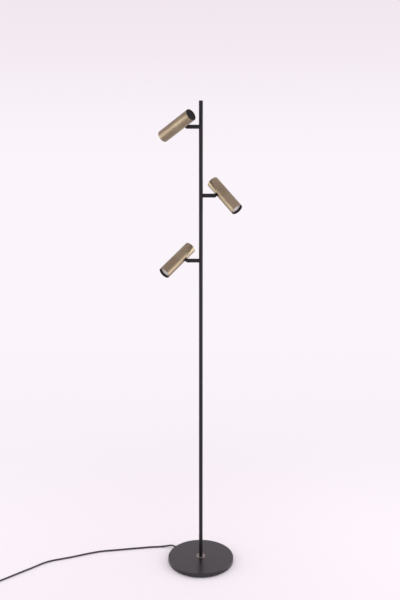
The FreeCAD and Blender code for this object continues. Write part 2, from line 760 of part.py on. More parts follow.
def build_neck(name, spot):
    """Tongue on the tilt pin with a round pad that is saddled to the spotlight."""
    end = primitive("Cylinder", "neck_end_" + name,
                    ("ArmReach", "-TongueThickness / 2", "0"), ALONG_Y,
                    Radius="TongueEndRadius", Height="TongueThickness")
    plate = box("neck_plate_" + name, "NeckPadStart + NeckPadDiameter / 20",
                "TongueThickness", "TongueWidth", ("ArmReach", "0", "-TongueWidth / 2"))
    pad = cylinder("neck_pad_" + name, "NeckPadDiameter", "NeckPadDiameter",
                   ("ArmReach + NeckPadStart", "0", "0"), ALONG_X)
    tube_space = cylinder("neck_saddle_" + name, "HeadDiameter + 2 * ThreadClearance",
                          "HeadDiameter", (HEAD_AXIS, "0", "-HeadDiameter / 2"))
    pin_hole = cylinder("neck_pin_hole_" + name, "PinDiameter + 2 * RunningClearance",
                        "TongueThickness * 2", ("ArmReach", "-TongueThickness", "0"), ALONG_Y)
    tap = cylinder("neck_tap_" + name, "NeckScrewDiameter", "NeckScrewLength * 2",
                   (f"{STRAP_OUT} + BracketThickness - NeckScrewLength - HoleClearance",
                    "0", "0"), ALONG_X)
    neck = cut("neck_cut_" + name, fuse("neck_solid_" + name, end, plate, pad),
               tube_space, pin_hole, tap)
    keep(neck, "neck_" + name, head_frame(spot))


def build_neck_screw(name, spot):
    """Screw from inside the spotlight, through the bracket, into the neck."""
    seat = f"{STRAP_OUT} + BracketThickness"
    shank = cylinder("neck_shank_" + name, "NeckScrewDiameter - 2 * ThreadClearance",
                     "NeckScrewLength", (f"{seat} - NeckScrewLength", "0", "0"), ALONG_X)
    head = cylinder("neck_head_" + name, "NeckScrewHeadDiameter", "NeckScrewHeadHeight",
                    (seat, "0", "0"), ALONG_X)
    keep(fuse("neck_screw_solid_" + name, shank, head), "neck_screw_" + name,
         head_frame(spot))


def build_head_tube(name, spot):
    """Brushed tube of the spotlight, open at both ends."""
    low = (HEAD_AXIS, "0", "-HeadBeforePin")
    outside = cylinder("head_out_" + name, "HeadDiameter", "HeadBeforePin + HeadBehindPin", low)
    inside = cylinder("head_in_" + name, HEAD_BORE, "(HeadBeforePin + HeadBehindPin) * 2",
                      (HEAD_AXIS, "0", "-HeadBeforePin * 1.5"))
    hole = cylinder("head_hole_" + name, "NeckScrewDiameter + 2 * HoleClearance",
                    "HeadDiameter / 2 + NeckGap", ("ArmReach", "0", "0"), ALONG_X)
    keep(cut("head_cut_" + name, outside, inside, hole), "head_tube_" + name,
         head_frame(spot))


def build_rear_cap(name, spot):
    """Cup-shaped cap set just inside the rear end of the tube."""
    radius = f"({HEAD_BORE} / 2 - PressClearance)"
    top = "(HeadBehindPin - RearCapRecess)"
    cap = turned("rear_cap_turned_" + name, [
        ("0", top),
        (radius, top),
        (radius, f"{top} - RearCapHeight"),
        (f"{radius} - RearCapThickness", f"{top} - RearCapHeight"),
        (f"{radius} - RearCapThickness", f"{top} - RearCapThickness"),
        ("0", f"{top} - RearCapThickness"),
    ])
    keep_on_axis(cap, "rear_cap_" + name, spot)


def build_baffle(name, spot):
    """Black ring in the front end, with a lip that holds the lamp."""
    radius = f"({HEAD_BORE} / 2 - PressClearance)"
    front = "(-HeadBeforePin + BaffleInset)"
    ring = turned("baffle_turned_" + name, [
        ("BaffleOpening / 2", front),
        (radius, front),
        (radius, f"{front} + BaffleLength"),
        ("BaffleSeat / 2", f"{front} + BaffleLength"),
        ("BaffleSeat / 2", LENS_FRONT),
        ("BaffleOpening / 2", LENS_FRONT),
    ])
    keep_on_axis(ring, "baffle_" + name, spot)


def build_lamp_lens(name, spot):
    """White diffusing front of the lamp."""
    lens = turned("lens_turned_" + name, [
        ("0", LENS_FRONT),
        ("LensDiameter / 2", LENS_FRONT),
        ("LensDiameter / 2", f"{LENS_FRONT} + LensThickness"),
        ("0", f"{LENS_FRONT} + LensThickness"),
    ])
    keep_on_axis(lens, "lamp_lens_" + name, spot)


def build_lamp_body(name, spot):
    """Reflector lamp with two contact pins at its rear."""
    start = f"({LENS_FRONT} + LensThickness)"
    cup = f"({start} + LampCupLength)"
    cone = f"({cup} + LampConeLength)"
    body = turned("lamp_turned_" + name, [
        ("0", start),
        ("LensDiameter / 2", start),
        ("LensDiameter / 2", cup),
        ("LampNeckDiameter / 2", cone),
        ("LampNeckDiameter / 2", LAMP_REAR),
        ("0", LAMP_REAR),
    ])
    pins = [cylinder(f"lamp_pin_{name}_{index}", "LampPinDiameter", "LampPinLength + 1",
                     ("0", f"{side} * LampPinSpacing / 2", f"{LAMP_REAR} - 1"))
            for index, side in enumerate((-1, 1))]
    keep_on_axis(fuse("lamp_solid_" + name, body, *pins), "lamp_body_" + name, spot)


def build_lamp_holder(name, spot):
    """Ceramic holder with two ports for the contact pins of the lamp."""
    block = cylinder("holder_block_" + name, "HolderDiameter", "HolderLength",
                     ("0", "0", HOLDER_FRONT))
    ports = [cylinder(f"holder_port_{name}_{index}", "LampPinDiameter + 2 * HoleClearance",
                      "HolderPortDepth * 2",
                      ("0", f"{side} * LampPinSpacing / 2",
                       f"{HOLDER_FRONT} - HolderPortDepth"))
             for index, side in enumerate((-1, 1))]
    keep_on_axis(cut("holder_cut_" + name, block, *ports), "lamp_holder_" + name, spot)


def build_holder_bracket(name, spot):
    """Bent strap from the neck screw down to the lamp holder."""
    strap = box("strap_" + name, "BracketThickness", "BracketWidth",
                f"BracketAbovePin - {HOLDER_REAR}", (STRAP_OUT, "0", HOLDER_REAR))
    shelf = box("shelf_" + name, f"{HEAD_AXIS} + BracketReach - {STRAP_OUT}", "BracketWidth",
                "BracketThickness", (STRAP_OUT, "0", HOLDER_REAR))
    hole = cylinder("strap_hole_" + name, "NeckScrewDiameter + 2 * HoleClearance",
                    "HeadDiameter / 2", ("ArmReach + NeckGap", "0", "0"), ALONG_X)
    bracket = cut("bracket_cut_" + name, fuse("bracket_solid_" + name, strap, shelf), hole)
    keep(bracket, "holder_bracket_" + name, head_frame(spot))


def keep_on_axis(shape, label, spot):
    """Keep a piece drawn about Z, moved onto the axis of its spotlight."""
    shift = Placement(Vector(value(HEAD_AXIS), 0, 0), Rotation())
    keep(shape, label, head_frame(spot) * shift)


def build_spot(name, spot):
    """Build one arm with its joint and its spotlight."""
    build_arm(name, spot)
    build_swivel(name, spot)
    build_pivot_screw(name, spot)
    build_neck(name, spot)
    build_neck_screw(name, spot)
    build_head_tube(name, spot)
    build_rear_cap(name, spot)
    build_baffle(name, spot)
    build_lamp_lens(name, spot)
    build_lamp_body(name, spot)
    build_lamp_holder(name, spot)
    build_holder_bracket(name, spot)


# ---------------------------------------------------------------- foot switch

def stadium(name, length, width, height, at):
    """Add a block with half-round ends whose low X end and floor are at a point."""
    x, y, z = at
    core = box(name + "_core", f"({length}) - ({width})", width, height,
               (f"{x} + ({width}) / 2", y, z))
    ends = [cylinder(f"{name}_end_{index}", width, height,
                     (f"{x} + ({width}) / 2 + {index} * (({length}) - ({width}))", y, z))
            for index in (0, 1)]
    return fuse(name, core, *ends)


SWITCH_MIDDLE = "(SwitchNoseLength + SwitchLength / 2)"
INNER_LENGTH = "SwitchLength - 2 * SwitchWall"
INNER_WIDTH = "SwitchWidth - 2 * SwitchWall"


def build_switch_base():
    """Lower half of the foot switch, with a nose for the cord at each end."""
    start = ("SwitchNoseLength", "0", "0")
    shell = stadium("switch_low", "SwitchLength", "SwitchWidth", "SwitchSplit", start)
    noses = [cylinder(f"switch_nose_{index}", "SwitchNoseDiameter",
                      "SwitchNoseLength + SwitchWall",
                      (f"{index} * (SwitchNoseLength + SwitchLength - SwitchWall)", "0",
                       "SwitchCordHeight"), ALONG_X)
             for index in (0, 1)]
    inside = stadium("switch_low_inside", INNER_LENGTH, INNER_WIDTH, "SwitchSplit",
                     ("SwitchNoseLength + SwitchWall", "0", "SwitchWall"))
    keep(cut("switch_base_cut", fuse("switch_base_solid", shell, *noses), inside),
         "switch_base", parked_frame())


def build_switch_cover():
    """Upper half of the foot switch, with a round hole for the button."""
    height = "SwitchHeight - SwitchSplit"
    shell = stadium("switch_high", "SwitchLength", "SwitchWidth", height,
                    ("SwitchNoseLength", "0", "SwitchSplit"))
    doc.recompute()
    rounded = doc.addObject("Part::Fillet", "switch_high_round")
    rounded.Base = shell
    top = value("SwitchHeight")
    size = value("SwitchRound")
    rounded.Edges = [(index, size, size) for index, edge in enumerate(shell.Shape.Edges, 1)
                     if min(point.Point.z for point in edge.Vertexes) > top - 0.01]
    inside = stadium("switch_high_inside", INNER_LENGTH, INNER_WIDTH,
                     f"{height} - SwitchWall",
                     ("SwitchNoseLength + SwitchWall", "0", "SwitchSplit"))
    hole = cylinder("switch_button_hole", "ButtonDiameter + 2 * SlideClearance",
                    "SwitchHeight", (SWITCH_MIDDLE, "0", "SwitchSplit"))
    keep(cut("switch_cover_cut", rounded, inside, hole), "switch_cover", parked_frame())


def build_switch_button():
    """Round foot button with a flange below the cover and a guide stem."""
    under = "(SwitchHeight - SwitchWall - SlideClearance)"
    flange = f"({under} - ButtonFlangeThickness)"
    top = "(SwitchHeight + ButtonRise)"
    button = turned("button_turned", [
        ("0", top),
        ("ButtonDiameter / 2", top),
        ("ButtonDiameter / 2", under),
        ("ButtonFlangeDiameter / 2", under),
        ("ButtonFlangeDiameter / 2", flange),
        ("ButtonStemDiameter / 2", flange),
        ("ButtonStemDiameter / 2", f"{flange} - ButtonStemLength"),
        ("0", f"{flange} - ButtonStemLength"),
    ])
    dressed(button, "Fillet", "button_edge", "ButtonRound", "ButtonDiameter", top)
    shift = Placement(Vector(value(SWITCH_MIDDLE), 0, 0), Rotation())
    keep(button, "switch_button", parked_frame() * shift)


def build_switch_contact():
    """Contact block in the foot switch, with a guide bore for the button's stem."""
    flange = "(SwitchHeight - SwitchWall - SlideClearance - ButtonFlangeThickness)"
    block = box("contact_body", "ContactLength", "ContactWidth", "ContactHeight",
                (f"{SWITCH_MIDDLE} - ContactLength / 2", "0", "SwitchWall"))
    depth = "(ButtonStemLength + ButtonTravel + 1)"
    bore = cylinder("contact_bore", "ButtonStemDiameter + 2 * SlideClearance",
                    f"{depth} * 2", (SWITCH_MIDDLE, "0", f"{flange} - {depth}"))
    keep(cut("contact_cut", block, bore), "switch_contact", parked_frame())


# ---------------------------------------------------------------- cord and plug

def unit(vector):
    """Return a vector of length one along a vector."""
    return vector * (1 / vector.Length)


def rounded_route(points):
    """Return the edges of a route of straight runs joined by tangent arcs.

    Each arc is as large as its two runs allow, and the smallest radius is returned too.
    """
    reach = 0.45
    edges = []
    radii = []
    last = points[0]
    for before, corner, after in zip(points, points[1:], points[2:]):
        arriving = unit(corner - before)
        leaving = unit(after - corner)
        half_turn = arriving.getAngle(leaving) / 2
        trim = reach * min((corner - before).Length, (after - corner).Length)
        radius = trim / math.tan(half_turn)
        start = corner - arriving * trim
        end = corner + leaving * trim
        middle = corner + unit(leaving - arriving) * (radius * (1 / math.cos(half_turn) - 1))
        edges.append(Part.LineSegment(last, start).toShape())
        edges.append(Part.Arc(start, middle, end).toShape())
        radii.append(radius)
        last = end
    edges.append(Part.LineSegment(last, points[-1]).toShape())
    return edges, radii


def arc_from(start, direction, end):
    """Return the arc that leaves a point along a direction and ends at another point."""
    chord = end - start
    along = unit(chord)
    lean = direction - along * direction.dot(along)
    if lean.Length < 1e-6:
        return Part.LineSegment(start, end).toShape()
    angle = direction.getAngle(chord)
    middle = (start + end) * 0.5 + unit(lean) * (chord.Length / 2 * math.tan(angle / 2))
    return Part.Arc(start, middle, end).toShape()


def biarc(start, leaving, end, arriving):
    """Return two arcs that join two points and keep their two directions."""
    span = end - start
    both = leaving + arriving
    bend = 2 * (1 - leaving.dot(arriving))
    if bend < 1e-9:
        reach = span.dot(span) / (4 * span.dot(leaving))
    else:
        root = span.dot(both) ** 2 + 2 * bend * span.dot(span) / 2
        reach = (-span.dot(both) + math.sqrt(root)) / bend
    joint = (start + end + (leaving - arriving) * reach) * 0.5
    first = arc_from(start, leaving, joint)
    second = arc_from(end, arriving * -1, joint)
    return [first, second]


def tube(name, edges, diameter):
    """Sweep a round section along joined edges and compare its volume with its length."""
    path = Part.Wire(edges)
    first = edges[0]
    start = first.valueAt(first.FirstParameter)
    heading = first.tangentAt(first.FirstParameter)
    section = Part.Wire([Part.Circle(start, heading, diameter / 2).toShape()])
    solid = path.makePipeShell([section], True, False)
    expected = math.pi * diameter ** 2 / 4 * path.Length
    print(f"{name}: length {path.Length:.1f} mm, volume is {solid.Volume / expected:.4f}"
          " of section times length")
    shape = doc.addObject("Part::Feature", name + "_tube")
    shape.Shape = solid
    return shape


def build_cord_run():
    """Stretch of cord on the floor, from the strain relief to the foot switch."""
    edges, radii = rounded_route(cord_points())
    print("cord_run radii:", " ".join(f"{radius:.0f}" for radius in radii))
    keep(tube("cord_run", edges, value("CordDiameter")), "cord_run")


COIL_START = "(2 * SwitchNoseLength + SwitchLength + CordDiameter + CoilLeadIn)"
COIL_HALF = "(CoilQuarterTurns / 8)"
COIL_OUTER = f"(CoilMiddleRadius + CoilStep * {COIL_HALF} / 2)"


def coil_point(turns):
    """Return the coil's centreline after a number of turns, in the parked frame.

    The turns spiral inwards on the floor, climb one layer in the half turn where the
    spiral reverses, and spiral outwards again on top.
    """
    middle = value(COIL_HALF)
    radius = value(COIL_OUTER) - value("CoilStep") * min(turns, 2 * middle - turns)
    rise = min(max((turns - middle) / 0.5 + 0.5, 0), 1)
    height = value(CORD_REST) + value("CoilStep") * rise * rise * (3 - 2 * rise)
    angle = 2 * math.pi * turns - math.pi / 2
    return Vector(value(COIL_START) + radius * math.cos(angle),
                  value(COIL_OUTER) + radius * math.sin(angle), height)


def least_gap(points, diameter):
    """Return the least gap between stretches of a tube that aren't neighbours."""
    spacing = (points[1] - points[0]).Length
    apart = int(3 * diameter / spacing) + 1
    least = min((first - second).Length
                for index, first in enumerate(points)
                for second in points[index + apart:])
    return least - diameter


def coil_heading(turns):
    """Return the direction of the coil's centreline after a number of turns."""
    step = 0.002
    return unit(coil_point(turns + step) - coil_point(turns - step))


def build_cord_coil():
    """Spare cord wound in two layers, with a straight end at the switch and the plug."""
    diameter = value("CordDiameter")
    along = Vector(1, 0, 0)
    entry = Vector(value("2 * SwitchNoseLength + SwitchLength"), 0, value("SwitchCordHeight"))
    exit_place = plug_frame_point()
    quarters = int(value("CoilQuarterTurns"))
    stations = [(entry + along * diameter, along)]
    for index in range(quarters + 1):
        stations.append((coil_point(index / 4), coil_heading(index / 4)))
    stations.append((exit_place + along * diameter, along * -1))
    edges = [Part.LineSegment(entry, stations[0][0]).toShape()]
    for (start, leaving), (end, arriving) in zip(stations, stations[1:]):
        first, second = biarc(start, leaving, end, arriving)
        edges += [first, second]
    edges.append(Part.LineSegment(stations[-1][0], exit_place).toShape())
    chain = Part.Wire(edges)
    gap = least_gap(chain.discretize(Distance=2.0), diameter)
    print(f"cord_coil: least gap to itself {gap:.2f} mm")
    keep(tube("cord_coil", edges, diameter), "cord_coil", parked_frame())


def plug_frame_point():
    """Return where the coil's outer end meets the plug, in the parked frame."""
    side = value(f"2 * {COIL_OUTER}")
    along = value(f"{COIL_START} - CoilLeadOut - CordDiameter")
    return Vector(along, side, value("PlugHeight / 2"))


def plug_frame():
    """Return the plug's frame: +X towards its pins, the origin where the cord enters."""
    return (parked_frame() * Placement(plug_frame_point(), Rotation())
            * Placement(Vector(), Rotation(Vector(0, 0, 1), 180)))


def build_plug():
    """Flat two-pin plug that lies beside the coil."""
    core = box("plug_core", "PlugLength", "PlugWidth", "PlugHeight",
               ("PlugNoseLength", "0", "-PlugHeight / 2"))
    doc.recompute()
    rounded = doc.addObject("Part::Fillet", "plug_round")
    rounded.Base = core
    size = value("PlugCornerRound")
    rounded.Edges = [(index, size, size) for index, edge in enumerate(core.Shape.Edges, 1)
                     if abs(edge.Vertexes[0].Point.z - edge.Vertexes[-1].Point.z) > 1]
    nose = primitive("Cone", "plug_nose", ("0", "0", "0"), ALONG_X,
                     Radius1="PlugNoseEnd / 2", Radius2="PlugNoseDiameter / 2",
                     Height="PlugNoseLength")
    keep(fuse("plug_solid", rounded, nose), "plug_body", plug_frame())
    pins = [cylinder(f"plug_pin_{index}", "PlugPinDiameter", "PlugPinLength",
                     ("PlugNoseLength + PlugLength", f"{side} * PlugPinSpacing / 2", "0"),
                     ALONG_X)
            for index, side in enumerate((-1, 1))]
    keep(group("plug_pins_placed", *pins), "plug_pins", plug_frame())


# ---------------------------------------------------------------- build and export

def build_all():
    """Build every sub-part of the lamp."""
    build_base_disc()
    build_base_feet()
    build_pocket_cover()
    build_base_screws()
    build_cord_clamp()
    build_terminal_block()
    build_cord_gland()
    build_cord_inner()
    build_base_stem()
    build_base_washer()
    build_base_nut()
    build_pole()
    build_pole_cap()
    build_base_collar()
    build_wiring()
    build_grub_screws()
    for name, spot in SPOTS.items():
        build_spot(name, spot)
    build_switch_base()
    build_switch_cover()
    build_switch_button()
    build_switch_contact()
    build_cord_run()
    build_cord_coil()
    build_plug()


def check_all():
    """Stop if any object failed or any sub-part's shape is not sound."""
    failed = [item.Name for item in doc.Objects
              if "Invalid" in item.State or "Error" in item.State]
    if failed:
        raise RuntimeError("failed objects: " + ", ".join(failed))
    for label, item in nodes.items():
        shape = item.Shape
        if shape.isNull() or not shape.isValid() or not shape.Solids:
            raise RuntimeError("bad shape: " + label)


build_all()
doc.recompute()
check_all()
os.makedirs("parts", exist_ok=True)
for label, item in nodes.items():
    item.Shape.exportStep(f"parts/{label}.step")
    print(f"{label}: {len(item.Shape.Solids)} solid(s), {item.Shape.Volume:.1f} mm3")
print(len(nodes), "nodes")
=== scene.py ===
"""The looks of a tree floor lamp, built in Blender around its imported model.

A slim black pole stands on a round lacquered base. Three short arms carry tubular
spotlights in brushed antique bronze, and a round cord runs over the floor.
Every size is in metres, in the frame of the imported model: origin on the floor under
the pole, X to the right, Y away from the viewer and Z up.
"""
import functools
import logging
import math
from dataclasses import dataclass, field
from enum import Enum
from typing import Any, Callable, ClassVar

import bmesh
import bpy
from mathutils import Matrix, Vector


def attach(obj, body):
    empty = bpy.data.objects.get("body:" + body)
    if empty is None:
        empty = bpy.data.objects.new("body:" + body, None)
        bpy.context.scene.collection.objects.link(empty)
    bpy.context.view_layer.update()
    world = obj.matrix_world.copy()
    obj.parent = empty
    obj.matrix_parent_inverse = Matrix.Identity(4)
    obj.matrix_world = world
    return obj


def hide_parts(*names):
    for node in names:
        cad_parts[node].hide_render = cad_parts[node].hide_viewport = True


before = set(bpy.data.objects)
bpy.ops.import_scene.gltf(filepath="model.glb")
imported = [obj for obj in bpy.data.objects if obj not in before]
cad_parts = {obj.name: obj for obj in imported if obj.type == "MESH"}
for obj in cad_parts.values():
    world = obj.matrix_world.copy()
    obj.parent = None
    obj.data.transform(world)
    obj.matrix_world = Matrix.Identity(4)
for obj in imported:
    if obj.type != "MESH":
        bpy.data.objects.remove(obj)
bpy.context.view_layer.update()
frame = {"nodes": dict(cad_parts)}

LOG = logging.getLogger("tree_floor_lamp")
MM = 0.001
# A step too short to see, the reach of a cutting tool past its cut, and the depth to
# which a cut or a joined solid runs into its neighbour.
SLIVER = 0.01 * MM
PAST = 20 * MM
OVERLAP = 1 * MM
# The distance that counts as none, and the least upward part of a level face's normal.
CLOSE = 1e-6
LEVEL = 0.99
RIGHTWARD = Vector((1.0, 0.0, 0.0))
AWAY = Vector((0.0, 1.0, 0.0))
UP = Vector((0.0, 0.0, 1.0))
OWN_PLACE = "own_place"

FaceTest = Callable[[Vector, Vector], bool]
EdgeTest = Callable[[Vector, Vector], bool]


def linear(colour: str) -> tuple[float, float, float, float]:
    """Turn a colour as it is seen on a screen into the light values a shader takes.

    Args:
        colour: Six hexadecimal digits, red, green and blue.

    Returns:
        Red, green, blue and an alpha of one.
    """
    def channel(level: float) -> float:
        """Undo the screen's curve for one channel."""
        return level / 12.92 if level <= 0.04045 else ((level + 0.055) / 1.055) ** 2.4

    red, green, blue = (channel(int(colour[i:i + 2], 16) / 255) for i in (0, 2, 4))
    return (red, green, blue, 1.0)


def turned_about(axis: Vector, degrees: float, pivot: Vector | None = None) -> Matrix:
    """Return the turn about an axis through a point.

    Args:
        axis: Direction of the axis.
        degrees: Angle by the right-hand rule.
        pivot: Point on the axis, or None for the origin.

    Returns:
        The 4 by 4 matrix of the turn.
    """
    spin = Matrix.Rotation(math.radians(degrees), 4, axis)
    if pivot is None:
        return spin
    return Matrix.Translation(pivot) @ spin @ Matrix.Translation(-pivot)


def shifted(x: float = 0.0, y: float = 0.0, z: float = 0.0) -> Matrix:
    """Return the shift by some distance along each axis."""
    return Matrix.Translation((x, y, z))


def add_to_scene(name: str, data: bpy.types.ID) -> bpy.types.Object:
    """Return a new object of the scene that holds some data.

    Args:
        name: Name of the object.
        data: Mesh, curve, light or camera data.

    Returns:
        The object.
    """
    item = bpy.data.objects.new(name, data)
    bpy.context.scene.collection.objects.link(item)
    return item


ALONG_X = turned_about(AWAY, 90.0)
ALONG_Y = turned_about(RIGHTWARD, -90.0)


# ------------------------------------------------------------------ shader bench

class NodeBench:
    """Adds and joins the nodes of one shader or node group."""

    def __init__(self, tree: bpy.types.NodeTree) -> None:
        """Start on a node tree."""
        self.tree = tree

    def add(self, kind: str, **settings: Any) -> bpy.types.Node:
        """Add a node and set its properties.

        Args:
            kind: Blender's name of the node type.
            **settings: Properties of the node by name.

        Returns:
            The new node.
        """
        node = self.tree.nodes.new(kind)
        for name, value in settings.items():
            setattr(node, name, value)
        return node

    def feed(self, target: bpy.types.NodeSocket, value: Any) -> None:
        """Link an output to an input, or set the input to a plain value.

        Args:
            target: The input.
            value: An output, a number, a vector or a colour.
        """
        if isinstance(value, bpy.types.NodeSocket):
            self.tree.links.new(value, target)
        else:
            target.default_value = value

    def sum_of(self, operation: str, first: Any, second: Any) -> bpy.types.NodeSocket:
        """Do one piece of arithmetic.

        Args:
            operation: Name of the operation of a Math node.
            first: A socket or a number.
            second: A socket or a number.

        Returns:
            The socket with the result.
        """
        node = self.add("ShaderNodeMath", operation=operation)
        for index, value in enumerate((first, second)):
            self.feed(node.inputs[index], value)
        return node.outputs[0]

    def ramp(self, value: bpy.types.NodeSocket, low: float, high: float,
             to_low: float = 0.0, to_high: float = 1.0) -> bpy.types.NodeSocket:
        """Stretch a value from one range to another, smoothly and within limits.

        Args:
            value: The value to stretch.
            low: Value that gives to_low.
            high: Value that gives to_high.
            to_low: First end of the result.
            to_high: Second end of the result.

        Returns:
            The socket with the result.
        """
        node = self.add("ShaderNodeMapRange", interpolation_type="SMOOTHSTEP")
        for name, number in (("Value", value), ("From Min", low), ("From Max", high),
                             ("To Min", to_low), ("To Max", to_high)):
            self.feed(node.inputs[name], number)
        return node.outputs["Result"]

    def noise(self, place: bpy.types.NodeSocket, scale: Any, detail: float,
              roughness: float = 0.5) -> bpy.types.NodeSocket:
        """Return smooth noise in space.

        Args:
            place: Where each point lies.
            scale: Features to the metre, a socket or a number.
            detail: Number of finer layers.
            roughness: Weight of the finer layers.

        Returns:
            The socket with values round one half.
        """
        node = self.add("ShaderNodeTexNoise", noise_dimensions="3D")
        for name, value in (("Vector", place), ("Scale", scale), ("Detail", detail),
                            ("Roughness", roughness)):
            self.feed(node.inputs[name], value)
        return node.outputs["Fac"]

    def blend_colours(self, amount: bpy.types.NodeSocket, first: Any,
                      second: Any) -> bpy.types.NodeSocket:
        """Mix two colours by a value from 0 to 1, each a socket or a colour.

        Args:
            amount: Share of the second colour.
            first: Colour at 0.
            second: Colour at 1.

        Returns:
            The socket with the mixed colour.
        """
        node = self.add("ShaderNodeMix", data_type="RGBA")
        self.feed(node.inputs["Factor"], amount)
        for name, colour in (("A", first), ("B", second)):
            socket = [one for one in node.inputs if one.name == name and one.type == "RGBA"][0]
            self.feed(socket, colour)
        return [one for one in node.outputs if one.type == "RGBA"][0]

    def blend_shaders(self, amount: bpy.types.NodeSocket, first: bpy.types.Node,
                      second: bpy.types.Node) -> bpy.types.NodeSocket:
        """Mix two shaders by a value from 0 to 1.

        Args:
            amount: Share of the second shader.
            first: Shader at 0.
            second: Shader at 1.

        Returns:
            The socket with the mixed shader.
        """
        node = self.add("ShaderNodeMixShader")
        for index, value in enumerate((amount, first.outputs[0], second.outputs[0])):
            self.feed(node.inputs[index], value)
        return node.outputs[0]


def new_group(name: str, vectors: tuple[str, ...], numbers: tuple[str, ...],
              results: tuple[str, ...]) -> tuple[NodeBench, Any, Any]:
    """Start a shader node group with named sockets.

    Args:
        name: Name of the group.
        vectors: Names of the inputs that take a vector.
        numbers: Names of the inputs that take a number.
        results: Names of the outputs, each a number.

    Returns:
        A bench on the group's tree, the values given to it and the results it puts out.
    """
    tree = bpy.data.node_groups.new(name, "ShaderNodeTree")
    for sockets, side, kind in ((vectors, "INPUT", "NodeSocketVector"),
                                (numbers, "INPUT", "NodeSocketFloat"),
                                (results, "OUTPUT", "NodeSocketFloat")):
        for socket in sockets:
            tree.interface.new_socket(name=socket, in_out=side, socket_type=kind)
    bench = NodeBench(tree)
    return bench, bench.add("NodeGroupInput").outputs, bench.add("NodeGroupOutput").inputs


@functools.cache
def surface_grain() -> bpy.types.NodeTree:
    """Build the group of fine grain and slow clouding that every finish shares.

    Returns:
        The group's tree.
    """
    bench, given, result = new_group("surface_grain", ("Place",), ("Grain", "Cloud"),
                                     ("Grain Height", "Cloud Mask"))
    bench.feed(result["Grain Height"], bench.noise(given["Place"], given["Grain"], 3.0, 0.6))
    bench.feed(result["Cloud Mask"], bench.noise(given["Place"], given["Cloud"], 5.0, 0.55))
    return bench.tree


@functools.cache
def brush_streaks() -> bpy.types.NodeTree:
    """Build the group of long fine scratches that a brushing belt leaves.

    Returns:
        The group's tree.
    """
    bench, given, result = new_group("brush_streaks", ("Place", "Lay"), (),
                                     ("Scratch", "Tone"))
    stretch = bench.add("ShaderNodeVectorMath", operation="MULTIPLY")
    bench.feed(stretch.inputs[0], given["Place"])
    bench.feed(stretch.inputs[1], given["Lay"])
    place = stretch.outputs["Vector"]
    bench.feed(result["Scratch"], bench.noise(place, 1.0, 4.0, 0.62))
    bench.feed(result["Tone"], bench.noise(place, 0.22, 3.0, 0.62))
    return bench.tree


@functools.cache
def rubbed_edges() -> bpy.types.NodeTree:
    """Build the group that finds worn edges: a broken mask along every outer edge.

    Returns:
        The group's tree.
    """
    bench, given, result = new_group("rubbed_edges", ("Place",), ("Width", "Breaks"), ("Mask",))
    rounded = bench.add("ShaderNodeBevel", samples=4)
    bench.feed(rounded.inputs["Radius"], given["Width"])
    shape = bench.add("ShaderNodeNewGeometry")
    agree = bench.add("ShaderNodeVectorMath", operation="DOT_PRODUCT")
    bench.feed(agree.inputs[0], rounded.outputs["Normal"])
    bench.feed(agree.inputs[1], shape.outputs["Normal"])
    edge = bench.ramp(agree.outputs["Value"], 0.86, 0.995, 1.0, 0.0)
    broken = bench.ramp(bench.noise(given["Place"], given["Breaks"], 4.0), 0.42, 0.62)
    bench.feed(result["Mask"], bench.sum_of("MULTIPLY", edge, broken))
    return bench.tree


@functools.cache
def dust_and_lit_top() -> bpy.types.NodeTree:
    """Build the group of dust and painted top light: a thin broken mask on what faces up.

    Returns:
        The group's tree.
    """
    bench, given, result = new_group("dust_and_lit_top", ("Place",), ("Speck",), ("Mask",))
    # The mask lightens what faces up: real dust, and on the base's top also painted light, a lit
    # top lighter than the side.
    facing = bench.add("ShaderNodeSeparateXYZ")
    bench.feed(facing.inputs[0], bench.add("ShaderNodeNewGeometry").outputs["Normal"])
    level = bench.ramp(facing.outputs["Z"], 0.6, 0.98)
    patch = bench.ramp(bench.noise(given["Place"], given["Speck"], 8.0, 0.75), 0.50, 0.78)
    bench.feed(result["Mask"], bench.sum_of("MULTIPLY", level, patch))
    return bench.tree


class PatternPlace(Enum):
    """Where a finish reads its pattern: the lamp's own frame or the piece's own one."""

    LAMP = "lamp"
    PIECE = "piece"


